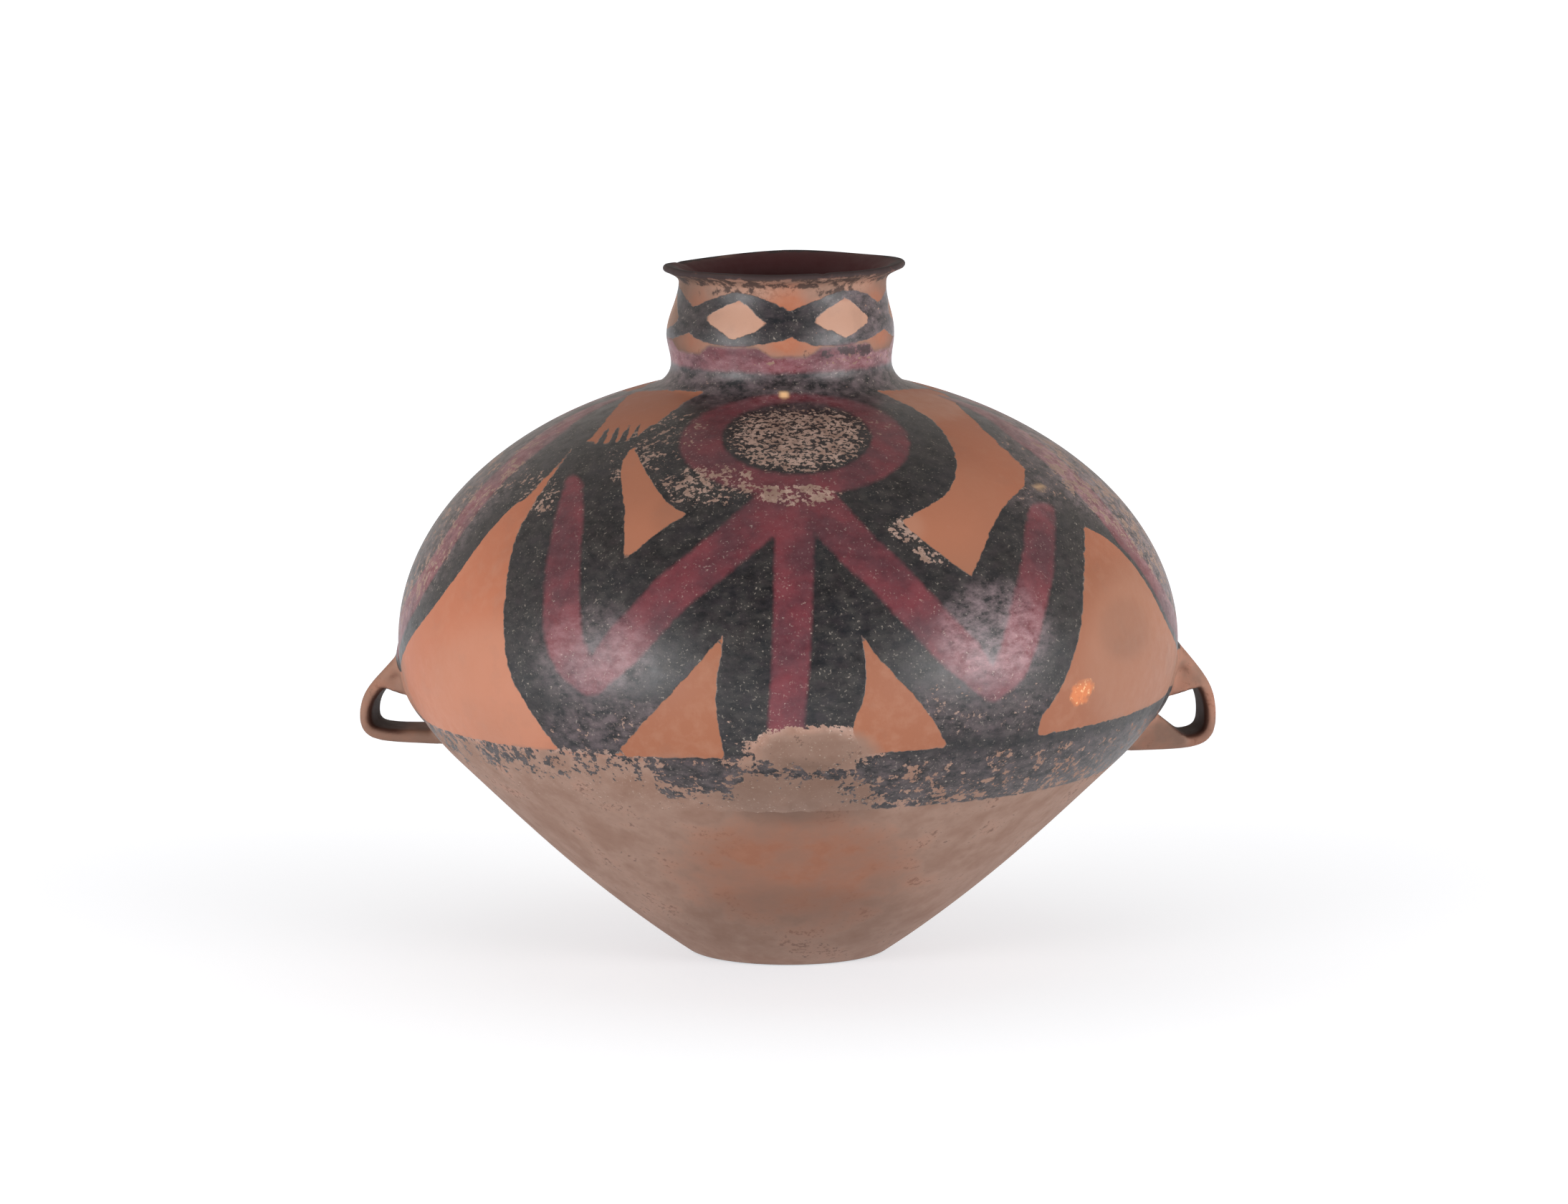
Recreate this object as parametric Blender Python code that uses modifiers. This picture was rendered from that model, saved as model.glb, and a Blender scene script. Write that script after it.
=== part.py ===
"""A hand-built pottery storage jar with a domed shoulder, a short collared neck and two strap handles.

The jar is one fired piece: the wall is turned from its outline, and the two straps are luted to it
where the shoulder tucks in. The painted front faces -Y, the handles stand near -X and +X, and the
origin is the centre of the flat underside. All sizes are in metres.
"""

import math

import bmesh
import bpy
from mathutils import Vector
from mathutils.geometry import interpolate_bezier

# Foot and lower body
FOOT_RADIUS = 0.0502
FOOT_EDGE_ROUNDING = 0.0022
FOOT_SPREAD_DEG = 56.0          # how far the wall leans out from upright where it leaves the foot
CONE_TOP_SPREAD_DEG = 46.0      # the same where the cone meets the tuck under the belly

# Belly and shoulder
BELLY_RADIUS = 0.2002
BELLY_HEIGHT = 0.1610
TUCK_DROP = 0.0580              # from the widest line down to the top of the cone
TUCK_INSET = 0.0290             # how far the top of the cone lies inside the widest line
DOME_RISE = 0.1390              # the shoulder is a quarter ellipse of this rise over the belly

# Neck and lip, with heights counted from where the neck springs out of the shoulder
NECK_RADIUS = 0.0566
NECK_FILLET = 0.0100
COLLAR_RADIUS = 0.0584
COLLAR_RISE = 0.0246
THROAT_RADIUS = 0.0532
THROAT_RISE = 0.0512
LIP_RADIUS = 0.0628
LIP_RISE = 0.0592

# Clay thickness
WALL = 0.0066
NECK_WALL = 0.0058
LIP_WALL = 0.0036
FLOOR = 0.0100
FLOOR_ROUNDING = 0.0120

# Strap handles
STRAP_WIDTH = 0.0300
STRAP_THICKNESS = 0.0062
STRAP_ROOT_WIDENING = 1.50      # the strap is this much broader where it is smeared onto the wall
STRAP_FOOT_WIDENING = 1.20
STRAP_ROOT_SPREAD_DEG = 42.0    # how far the strap leans out from upright where it springs
ROOT_WEB_WIDTH = 0.0270         # clay pressed into the corner between strap and wall
ROOT_WEB_DROP = 0.0270          # from the widest line down to the underside of that clay
LOOP_REACH = 0.0214             # how far the loop stands out beyond the widest line
LOOP_OUTERMOST_DROP = 0.0430    # from the widest line down to the loop's outermost point
LEFT_ROOT_DROP = 0.0140         # from the widest line down to where the left strap springs
LEFT_FOOT_DROP = 0.0530         # from the widest line down to the left loop's lower run
RIGHT_ROOT_DROP = 0.0090
RIGHT_FOOT_DROP = 0.0565
HANDLE_SETBACK_DEG = 8.0        # both handles stand this far behind the jar's sides

# The neck has slumped a little towards -X, and its rim dips that way
NECK_SHIFT = 0.0040
RIM_SHIFT = 0.0020
RIM_DIP_DEG = 1.0

# Facets
TURN_STEPS = 72
CONE_POINTS = 6
TUCK_POINTS = 6
DOME_POINTS = 11
FILLET_POINTS = 3
NECK_POINTS = 4
LIP_POINTS = 3
LOOP_POINTS = 7

CLAY_COLOUR = (0.56, 0.27, 0.15, 1.0)
CLAY_ROUGHNESS = 0.6


def clear_scene():
    """Empty the scene."""
    for item in list(bpy.data.objects):
        bpy.data.objects.remove(item, do_unlink=True)


def leaning(angle_deg):
    """The unit direction, in the outline's (radius, height) plane, that leans out by angle_deg."""
    angle = math.radians(angle_deg)
    return Vector((math.sin(angle), math.cos(angle)))


def stretch(start, start_dir, end, end_dir, count, fullness=0.36):
    """Points of one smooth stretch of outline, without its last point."""
    reach = (end - start).length * fullness
    knots = (start, start + start_dir * reach, end - end_dir * reach, end)
    points = interpolate_bezier(*(knot.to_3d() for knot in knots), count + 1)
    return [point.to_2d() for point in points[:-1]]


def dome_height(radius):
    """Height of the shoulder's surface at a radius."""
    return BELLY_HEIGHT + DOME_RISE * math.sqrt(1.0 - (radius / BELLY_RADIUS) ** 2)


def dome_direction(radius):
    """The way the shoulder runs up towards the neck at a radius."""
    slope = DOME_RISE * radius / (BELLY_RADIUS ** 2 * math.sqrt(1.0 - (radius / BELLY_RADIUS) ** 2))
    return Vector((-1.0, slope)).normalized()


def dome_points():
    """The shoulder from the widest line up to the neck's fillet, without its last point."""
    last = math.acos((NECK_RADIUS + NECK_FILLET) / BELLY_RADIUS)
    angles = [last * i / DOME_POINTS for i in range(DOME_POINTS)]
    return [
        Vector((BELLY_RADIUS * math.cos(angle), BELLY_HEIGHT + DOME_RISE * math.sin(angle)))
        for angle in angles
    ]


def outer_outline():
    """The outer wall from the foot's edge up to the lip, as points of (radius, height)."""
    upright = Vector((0.0, 1.0))
    foot_way = leaning(FOOT_SPREAD_DEG)
    foot = Vector((FOOT_RADIUS, 0.0))
    heel = foot + foot_way * FOOT_EDGE_ROUNDING
    underside = foot - Vector((FOOT_EDGE_ROUNDING, 0.0))
    cone_top = Vector((BELLY_RADIUS - TUCK_INSET, BELLY_HEIGHT - TUCK_DROP))
    cone_way = leaning(CONE_TOP_SPREAD_DEG)
    belly = Vector((BELLY_RADIUS, BELLY_HEIGHT))

    fillet_radius = NECK_RADIUS + NECK_FILLET
    fillet_start = Vector((fillet_radius, dome_height(fillet_radius)))
    spring = dome_height(NECK_RADIUS)
    neck_foot = Vector((NECK_RADIUS, spring + NECK_FILLET))
    collar = Vector((COLLAR_RADIUS, spring + COLLAR_RISE))
    throat = Vector((THROAT_RADIUS, spring + THROAT_RISE))
    lip = Vector((LIP_RADIUS, spring + LIP_RISE))

    points = [underside]
    points += stretch(heel, foot_way, cone_top, cone_way, CONE_POINTS)
    points += stretch(cone_top, cone_way, belly, upright, TUCK_POINTS)
    points += dome_points()
    points += stretch(fillet_start, dome_direction(fillet_radius), neck_foot, upright, FILLET_POINTS)
    points += stretch(neck_foot, upright, collar, upright, NECK_POINTS)
    points += stretch(collar, upright, throat, upright, NECK_POINTS)
    points += stretch(throat, upright, lip, leaning(52.0), LIP_POINTS)
    points.append(lip)
    return points


def wall_at(height):
    """Clay thickness at a height: even in the body, thinner up the neck and thinnest at the lip."""
    spring = dome_height(NECK_RADIUS)
    if height <= spring:
        return WALL
    share = min(1.0, (height - spring) / LIP_RISE)
    if height <= spring + THROAT_RISE:
        return WALL + (NECK_WALL - WALL) * share * LIP_RISE / THROAT_RISE
    late = (height - spring - THROAT_RISE) / (LIP_RISE - THROAT_RISE)
    return NECK_WALL + (LIP_WALL - NECK_WALL) * late


def inset_outline(outline, share=1.0):
    """The outline moved into the clay, square to itself, by a share of the wall's thickness."""
    moved = []
    for i, point in enumerate(outline):
        ahead = outline[min(i + 1, len(outline) - 1)]
        behind = outline[max(i - 1, 0)]
        way = (ahead - behind).normalized()
        inwards = Vector((-way.y, way.x))
        moved.append(point + inwards * wall_at(point.y) * share)
    return moved


def inner_outline(outline):
    """The cavity's wall from the floor's centre up to the inside of the lip."""
    wall = [point for point in inset_outline(outline) if point.y > FLOOR + FLOOR_ROUNDING]
    wall = wall[:-1:2] + wall[-1:]
    rise = (wall[1] - wall[0]).normalized()
    corner = wall[0] - rise * ((wall[0].y - FLOOR) / rise.y)
    floor_edge = corner - Vector((FLOOR_ROUNDING, 0.0))
    turn = interpolate_bezier(
        floor_edge.to_3d(), corner.to_3d(), corner.to_3d(), wall[0].to_3d(), FILLET_POINTS
    )
    return [Vector((0.0, FLOOR))] + [point.to_2d() for point in turn[:-1]] + wall


def turned(name, outline):
    """A solid of revolution: the outline is spun about Z by a Screw modifier."""
    mesh = bpy.data.meshes.new(name)
    corners = [(point.x, 0.0, point.y) for point in outline]
    mesh.from_pydata(corners, [(i, i + 1) for i in range(len(corners) - 1)], [])
    body = bpy.data.objects.new(name, mesh)
    bpy.context.scene.collection.objects.link(body)
    screw = body.modifiers.new("turn", "SCREW")
    screw.axis = "Z"
    screw.steps = TURN_STEPS
    screw.render_steps = TURN_STEPS
    screw.use_merge_vertices = True
    screw.merge_threshold = 0.00001
    return body


def as_mesh(source, name):
    """The evaluated shape of an object as a plain mesh object; the source is removed."""
    bpy.context.view_layer.update()
    graph = bpy.context.evaluated_depsgraph_get()
    mesh = bpy.data.meshes.new_from_object(source.evaluated_get(graph))
    work = bmesh.new()
    work.from_mesh(mesh)
    bmesh.ops.remove_doubles(work, verts=work.verts, dist=0.00001)
    bmesh.ops.recalc_face_normals(work, faces=work.faces)
    work.to_mesh(mesh)
    work.free()
    made = bpy.data.objects.new(name, mesh)
    made.matrix_world = source.matrix_world.copy()
    bpy.context.scene.collection.objects.link(made)
    bpy.data.objects.remove(source, do_unlink=True)
    return made


def combine(target, operation, other):
    """Join another mesh to the target, or cut it away, and remove the other."""
    step = target.modifiers.new(operation.lower(), "BOOLEAN")
    step.operation = operation
    step.solver = "EXACT"
    step.object = other
    made = as_mesh(target, target.name)
    bpy.data.objects.remove(other, do_unlink=True)
    return made


def outline_radius(outline, height):
    """Radius of the outer wall at a height below the widest line."""
    for low, high in zip(outline, outline[1:]):
        if low.y <= height <= high.y:
            return low.x + (high.x - low.x) * (height - low.y) / (high.y - low.y)
    return BELLY_RADIUS


def strap_section():
    """The strap's cross-section as a hidden curve: a flat oval with rounded edges."""
    data = bpy.data.curves.new("strap_section", "CURVE")
    data.dimensions = "2D"
    line = data.splines.new("POLY")
    half_width, half_thickness = STRAP_WIDTH / 2, STRAP_THICKNESS / 2
    flat = half_width - half_thickness
    corners = []
    for side, start in ((1, -90), (-1, 90)):
        for turn_deg in (0, 45, 90, 135, 180):
            angle = math.radians(start + turn_deg)
            corners.append(
                (side * flat + half_thickness * math.cos(angle), half_thickness * math.sin(angle))
            )
    line.points.add(len(corners) - 1)
    for point, (across, through) in zip(line.points, corners):
        point.co = (across, through, 0.0, 1.0)
    line.use_cyclic_u = True
    section = bpy.data.objects.new("strap_section", data)
    bpy.context.scene.collection.objects.link(section)
    return section


def strap_path(outline, root_drop, foot_drop):
    """The strap's centre line in the (radius, height) plane, from root to foot."""
    peak = Vector((BELLY_RADIUS + LOOP_REACH - STRAP_THICKNESS / 2, BELLY_HEIGHT - LOOP_OUTERMOST_DROP))
    root_way = leaning(180.0 - STRAP_ROOT_SPREAD_DEG)
    root_height = BELLY_HEIGHT - root_drop
    root = Vector((outline_radius(outline, root_height), root_height)) - root_way * WALL
    foot_height = BELLY_HEIGHT - foot_drop
    foot = Vector((outline_radius(outline, foot_height) - WALL, foot_height))

    fall = root.y - peak.y
    drop = peak.y - foot.y
    upper = (root, root + root_way * fall * 0.62, peak + Vector((0.0, fall * 0.42)), peak)
    lower = (
        peak,
        peak - Vector((0.0, drop * 1.15)),
        foot + Vector(((peak.x - foot.x) * 0.85, 0.0)),
        foot,
    )
    path = []
    for knots in (upper, lower):
        path += interpolate_bezier(*(knot.to_3d() for knot in knots), LOOP_POINTS)[:-1]
    path.append(foot.to_3d())
    return path


def strap(name, path, azimuth_deg):
    """One strap handle, standing out of the wall at an azimuth counted from +X towards +Y."""
    section = strap_section()
    data = bpy.data.curves.new(name, "CURVE")
    data.dimensions = "3D"
    data.twist_mode = "MINIMUM"
    data.bevel_mode = "OBJECT"
    data.bevel_object = section
    data.use_fill_caps = True
    line = data.splines.new("POLY")
    line.points.add(len(path) - 1)
    for i, (point, place) in enumerate(zip(line.points, path)):
        away = 2.0 * i / (len(path) - 1) - 1.0
        widening = STRAP_ROOT_WIDENING if away < 0.0 else STRAP_FOOT_WIDENING
        point.co = (place.x, 0.0, place.y, 1.0)
        point.radius = 1.0 + (widening - 1.0) * away ** 2
    curve = bpy.data.objects.new(name, data)
    curve.rotation_euler.z = math.radians(azimuth_deg)
    bpy.context.scene.collection.objects.link(curve)
    made = as_mesh(curve, name)
    bpy.data.objects.remove(section, do_unlink=True)
    return made


def root_web(name, outline, path, azimuth_deg):
    """Clay pressed into the upper corner between a strap and the wall, level on its underside."""
    under = BELLY_HEIGHT - ROOT_WEB_DROP
    above = [place for place in path if place.y > under]
    below = next(place for place in path if place.y <= under)
    share = (above[-1].y - under) / (above[-1].y - below.y)
    corners = [(place.x, place.y) for place in above]
    corners.append((above[-1].x + (below.x - above[-1].x) * share, under))
    corners.append((outline_radius(outline, under) - WALL, under))

    data = bpy.data.curves.new(name, "CURVE")
    data.dimensions = "2D"
    data.fill_mode = "BOTH"
    data.extrude = ROOT_WEB_WIDTH / 2
    line = data.splines.new("POLY")
    line.points.add(len(corners) - 1)
    for point, (across, height) in zip(line.points, corners):
        point.co = (across, height, 0.0, 1.0)
    line.use_cyclic_u = True
    web = bpy.data.objects.new(name, data)
    web.rotation_euler = (math.radians(90.0), 0.0, math.radians(azimuth_deg))
    bpy.context.scene.collection.objects.link(web)
    return as_mesh(web, name)


def slump(body):
    """Let the neck stand off the axis towards -X, and dip its rim the same way."""
    spring = dome_height(NECK_RADIUS)
    for vertex in body.data.vertices:
        lean = min(1.0, max(0.0, (vertex.co.z - BELLY_HEIGHT) / (spring + COLLAR_RISE - BELLY_HEIGHT)))
        dip = min(1.0, max(0.0, (vertex.co.z - spring) / LIP_RISE))
        vertex.co.z += vertex.co.x * math.tan(math.radians(RIM_DIP_DEG)) * dip
        vertex.co.x -= NECK_SHIFT * lean ** 2 + (RIM_SHIFT - NECK_SHIFT) * dip ** 3


def clay():
    """Fired, burnished clay."""
    material = bpy.data.materials.new("fired_clay")
    material.use_nodes = True
    shader = material.node_tree.nodes["Principled BSDF"]
    shader.inputs["Base Color"].default_value = CLAY_COLOUR
    shader.inputs["Roughness"].default_value = CLAY_ROUGHNESS
    shader.inputs["Metallic"].default_value = 0.0
    return material


def make_jar():
    """The whole jar as one solid."""
    outer = outer_outline()
    inner = inner_outline(outer)
    around = inner + outer[::-1] + [Vector((0.0, 0.0))]
    jar = as_mesh(turned("jar", around), "jar")

    core_outline = inset_outline(outer, share=0.5)
    core_outline = [Vector((0.0, core_outline[0].y))] + core_outline
    core_outline.append(Vector((0.0, core_outline[-1].y)))
    straps = {
        "left_strap": (LEFT_ROOT_DROP, LEFT_FOOT_DROP, 180.0 - HANDLE_SETBACK_DEG),
        "right_strap": (RIGHT_ROOT_DROP, RIGHT_FOOT_DROP, HANDLE_SETBACK_DEG),
    }
    for name, (root_drop, foot_drop, azimuth) in straps.items():
        path = strap_path(outer, root_drop, foot_drop)
        core = as_mesh(turned("core", core_outline[::-1]), "core")
        handle = combine(strap(name, path, azimuth), "UNION", root_web("web", outer, path, azimuth))
        handle = combine(handle, "DIFFERENCE", core)
        jar = combine(jar, "UNION", handle)

    slump(jar)
    jar.name = "jar"
    for face in jar.data.polygons:
        face.use_smooth = True
    jar.data.set_sharp_from_angle(angle=math.radians(40.0))
    jar.data.materials.clear()
    jar.data.materials.append(clay())
    vessel = bpy.data.collections.new("painted_pottery_jar")
    bpy.context.scene.collection.children.link(vessel)
    bpy.context.scene.collection.objects.unlink(jar)
    vessel.objects.link(jar)
    return jar


clear_scene()
make_jar()
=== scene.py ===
"""The looks of a hand-built pottery storage jar: its fired wall, its two luted straps and its worn painting.

The jar is one fired piece, so it is one mesh. Its painting is laid out in millimetres as seen from the
front, held on the mesh as signed distances from each painted edge, and worn away in the finish.
"""

import logging
import math
from dataclasses import dataclass, field
from enum import Enum

import bmesh
import bpy
import numpy as np
from mathutils import Matrix, Vector
from mathutils.geometry import interpolate_bezier


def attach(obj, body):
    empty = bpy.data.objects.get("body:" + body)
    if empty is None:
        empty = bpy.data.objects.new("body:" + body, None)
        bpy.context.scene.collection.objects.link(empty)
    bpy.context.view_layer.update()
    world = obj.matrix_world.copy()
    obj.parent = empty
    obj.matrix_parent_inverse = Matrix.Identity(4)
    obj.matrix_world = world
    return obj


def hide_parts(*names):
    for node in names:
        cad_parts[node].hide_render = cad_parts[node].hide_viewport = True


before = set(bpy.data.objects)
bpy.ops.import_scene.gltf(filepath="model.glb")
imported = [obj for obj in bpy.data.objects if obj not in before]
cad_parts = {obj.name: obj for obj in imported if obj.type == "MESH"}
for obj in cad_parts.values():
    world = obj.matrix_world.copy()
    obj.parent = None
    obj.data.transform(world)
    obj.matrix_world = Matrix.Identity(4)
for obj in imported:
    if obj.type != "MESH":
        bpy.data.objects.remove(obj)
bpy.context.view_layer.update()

log = logging.getLogger("painted_jar")
MM = 0.001
Corners = tuple[tuple[float, float], ...]
Tree = bpy.types.NodeTree
Socket = bpy.types.NodeSocket
Sockets = dict[str, Socket]
Array = np.ndarray


# Shared small tools

def linear(hex_colour: str) -> tuple[float, float, float, float]:
    """Turn an sRGB hex colour into a linear one.

    Args:
        hex_colour: six hex digits.

    Returns:
        Linear red, green, blue and full opacity.
    """
    shares = [int(hex_colour[i:i + 2], 16) / 255.0 for i in (0, 2, 4)]
    turned = [s / 12.92 if s <= 0.04045 else ((s + 0.055) / 1.055) ** 2.4 for s in shares]
    return (*turned, 1.0)


class Kind(Enum):
    """Kinds of shader node, by what they do."""

    PLACE = ("TexCoord", "Object", (), {})
    WAY = ("TexCoord", "Generated", (), {})
    HELD = ("Attribute", "Fac", (), {})
    ALONG_Y = ("SeparateXYZ", "Y", (0,), {})
    ALONG_Z = ("SeparateXYZ", "Z", (0,), {})
    LENGTH = ("VectorMath", "Value", (0,), {"operation": "LENGTH"})
    TURNED = ("Mapping", 0, (0, 3, 2), {})
    NOISE = ("TexNoise", "Fac", ("Vector", "Scale", "Detail", "Roughness"), {})
    TIMES = ("Math", 0, (0, 1), {"operation": "MULTIPLY"})
    TIMES_PLUS = ("Math", 0, (0, 1, 2), {"operation": "MULTIPLY_ADD"})
    MINUS = ("Math", 0, (0, 1), {"operation": "SUBTRACT"})
    GREATEST = ("Math", 0, (0, 1), {"operation": "MAXIMUM"})
    SPAN = ("MapRange", 0, (0, 1, 2, 3, 4), {})
    EASED = ("MapRange", 0, (0, 1, 2, 3, 4), {"interpolation_type": "SMOOTHSTEP"})
    BLEND = ("Mix", 0, (0, 2, 3), {"data_type": "FLOAT"})
    MIX = ("Mix", 2, (0, 6, 7), {"data_type": "RGBA"})
    BUMP = ("Bump", 0, ("Strength", "Distance", "Height"), {})
    PAPER = ("BsdfPrincipled", 0, ("Base Color", "Roughness", "Emission Color", "Emission Strength"), {})
    POTTERY = ("BsdfPrincipled", 0, (
        "Base Color", "Roughness", "Normal", "IOR", "Metallic", "Specular IOR Level"), {})
    TENT = ("Background", 0, ("Color", "Strength"), {})
    SURFACE = ("OutputMaterial", None, ("Surface",), {})
    WORLD = ("OutputWorld", None, ("Surface",), {})

    def __init__(
        self, node: str, output: str | int | None, slots: tuple[str | int, ...], fixed: dict[str, str],
    ) -> None:
        """Name the node's type, the output used, the inputs in their order, and its settings."""
        self.node, self.output, self.slots, self.fixed = node, output, slots, fixed


def put(tree: Tree, kind: Kind, *inputs: object, **settings: object) -> Socket | None:
    """Add a node with its settings and links.

    Args:
        tree: the node tree it joins.
        kind: the kind of node.
        inputs: plain values or sockets to link, in the kind's order.
        settings: the node's further properties.

    Returns:
        The kind's output, if it has one.
    """
    node = tree.nodes.new("ShaderNode" + kind.node)
    for key, value in (kind.fixed | settings).items():
        setattr(node, key, value)
    for slot, value in zip(kind.slots, inputs):
        if isinstance(value, Socket):
            tree.links.new(value, node.inputs[slot])
        else:
            node.inputs[slot].default_value = value
    return None if kind.output is None else node.outputs[kind.output]


def per_metre(size_mm: float) -> float:
    """The noise scale that gives blotches of a size in millimetres."""
    return 1.0 / (size_mm * MM)


def ramp(low: float, high: float, value: Array) -> Array:
    """A smooth step from 0 at low to 1 at high, either way round."""
    share = np.clip((value - low) / (high - low), 0.0, 1.0)
    return share * share * (3.0 - 2.0 * share)


def swell(middle: float, reach: float, value: Array) -> Array:
    """A soft bump: 1 at the middle, nearly 0 at twice the reach."""
    return np.exp(-((value - middle) / reach) ** 2)


def flowing(corners: Corners, closed: bool = True, sharp_deg: float = 38.0, steps: int = 4) -> Array:
    """Draw a brush-like line through corners: gentle turns flow, sharp ones stay sharp.

    Args:
        corners: the measured points.
        closed: whether the line returns to its start.
        sharp_deg: turns beyond this stay corners.
        steps: points drawn for each measured stretch.

    Returns:
        The drawn points, one row each.
    """
    knots = np.array(corners, float)
    count = len(knots)
    ahead = np.roll(knots, -1, axis=0) - knots
    behind = knots - np.roll(knots, 1, axis=0)
    turn = np.degrees(np.abs(np.arctan2(
        behind[:, 0] * ahead[:, 1] - behind[:, 1] * ahead[:, 0], (behind * ahead).sum(axis=1)
    )))
    sharp = turn > sharp_deg
    if not closed:
        sharp[0] = sharp[-1] = True
    share = np.linspace(0.0, 1.0, steps, endpoint=False)[:, None]
    drawn = []
    for i in range(count if closed else count - 1):
        j = (i + 1) % count
        leave = ahead[i] if sharp[i] else (ahead[i] + behind[i]) / 2
        arrive = ahead[i] if sharp[j] else (ahead[j] + behind[j]) / 2
        drawn.append(
            knots[i] * (2 * share ** 3 - 3 * share ** 2 + 1) + leave * (share ** 3 - 2 * share ** 2 + share)
            + knots[j] * (3 * share ** 2 - 2 * share ** 3) + arrive * (share ** 3 - share ** 2)
        )
    if not closed:
        drawn.append(knots[-1:])
    return np.vstack(drawn)


def nearest(points: Array, line: Array) -> tuple[Array, Array, Array]:
    """Measure points against a line of straight stretches.

    Args:
        points: one (across, up) row each.
        line: the line's points in order.

    Returns:
        The distance, the place along the line counted in stretches, and whether the point lies left of it.
    """
    start, way = line[:-1], line[1:] - line[:-1]
    length2 = np.maximum((way ** 2).sum(axis=1), 1e-12)
    distance, place, left = [], [], []
    for block in np.array_split(points, max(1, len(points) // 12000)):
        away = block[:, None, :] - start[None]
        share = np.clip((away * way).sum(axis=2) / length2, 0.0, 1.0)
        gap = np.linalg.norm(away - way * share[:, :, None], axis=2)
        which = gap.argmin(axis=1)
        rows = np.arange(len(block))
        distance.append(gap[rows, which])
        place.append(which + share[rows, which])
        cross = way[which, 0] * away[rows, which, 1] - way[which, 1] * away[rows, which, 0]
        left.append(cross > 0.0)
    return np.concatenate(distance), np.concatenate(place), np.concatenate(left)


def area_reach(points: Array, outline: Array) -> Array:
    """How far points lie inside a closed outline, negative outside it."""
    closed = np.vstack([outline, outline[:1]])
    distance, _, _ = nearest(points, closed)
    inside = np.zeros(len(points), bool)
    for (x0, y0), (x1, y1) in zip(closed, closed[1:]):
        if y0 != y1:
            crosses = (points[:, 1] < y0) != (points[:, 1] < y1)
            inside ^= crosses & (points[:, 0] < x0 + (x1 - x0) * (points[:, 1] - y0) / (y1 - y0))
    return np.where(inside, distance, -distance)


def stroke_reach(points: Array, knots: Corners, half_widths: tuple[float, ...]) -> Array:
    """How far points lie inside a brush stroke whose half width changes from knot to knot."""
    steps = 4
    line = flowing(knots, closed=False, steps=steps)
    distance, place, _ = nearest(points, line)
    half = np.interp(place / steps, np.arange(len(knots)), half_widths)
    return half - distance


def bend(knots: tuple[Vector, ...], count: int) -> list[Vector]:
    """Points along a flat curve that leaves and arrives the way its two middle knots say."""
    return [p.to_2d() for p in interpolate_bezier(*(k.to_3d() for k in knots), count)]


def plain_mesh(source: bpy.types.Object, name: str) -> bpy.types.Object:
    """Bake an object's modifiers into a plain mesh object at the origin.

    Args:
        source: the object, which is removed.
        name: the new object's name.

    Returns:
        The new object.
    """
    bpy.context.view_layer.update()
    graph = bpy.context.evaluated_depsgraph_get()
    mesh = bpy.data.meshes.new_from_object(source.evaluated_get(graph))
    mesh.name = name
    bpy.data.objects.remove(source, do_unlink=True)
    return stand(mesh, name)


def stand(mesh: bpy.types.Mesh, name: str) -> bpy.types.Object:
    """Put a mesh into the scene as an object at the origin."""
    made = bpy.data.objects.new(name, mesh)
    bpy.context.scene.collection.objects.link(made)
    return made


def moulded(work: bmesh.types.BMesh, name: str) -> bpy.types.Object:
    """Turn a finished bmesh into an object at the origin."""
    mesh = bpy.data.meshes.new(name)
    work.to_mesh(mesh)
    work.free()
    return stand(mesh, name)


# Where the jar is looked at from

@dataclass(frozen=True)
class Viewpoint:
    """The place the jar is drawn and looked at from: in front of it and a little above."""

    pitch_deg: float = 8.4
    distance: float = 4.2
    aim: tuple[float, float, float] = (-0.002, 0.0, 0.180)
    lens_mm: float = 187.96
    sensor_mm: float = 36.0
    drawing_middle_mm: tuple[float, float] = (-2.0, 177.9)

    def axes(self) -> tuple[Vector, Vector, Vector]:
        """The ways across, up and forwards of the view."""
        pitch = math.radians(self.pitch_deg)
        forwards = Vector((0.0, math.cos(pitch), -math.sin(pitch)))
        return Vector((1.0, 0.0, 0.0)), Vector((0.0, math.sin(pitch), math.cos(pitch))), forwards

    def eye(self) -> Vector:
        """Where the eye stands."""
        return Vector(self.aim) - self.axes()[2] * self.distance

    def drawing(self, places: Array) -> Array:
        """Lay places of the jar flat as they look from the eye.

        Args:
            places: points in metres, one row each.

        Returns:
            Across and up in millimetres, true to size at the jar's axis.
        """
        across, up, forwards = (np.array(way) for way in self.axes())
        away = places - np.array(self.eye())
        depth = away @ forwards
        flat = np.stack([away @ across, away @ up], axis=1) / depth[:, None] * self.distance / MM
        return flat + np.array(self.drawing_middle_mm)

    def camera(self) -> None:
        """Set up the scene's camera at the eye."""
        data = bpy.data.cameras.new("camera")
        data.lens = self.lens_mm
        data.sensor_width = self.sensor_mm
        data.clip_start, data.clip_end = 0.1, 200.0
        camera = bpy.data.objects.new("camera", data)
        camera.location = self.eye()
        camera.rotation_mode = "QUATERNION"
        camera.rotation_quaternion = self.axes()[2].to_track_quat("-Z", "Y")
        bpy.context.scene.collection.objects.link(camera)
        bpy.context.scene.camera = camera


# The fired wall

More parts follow.
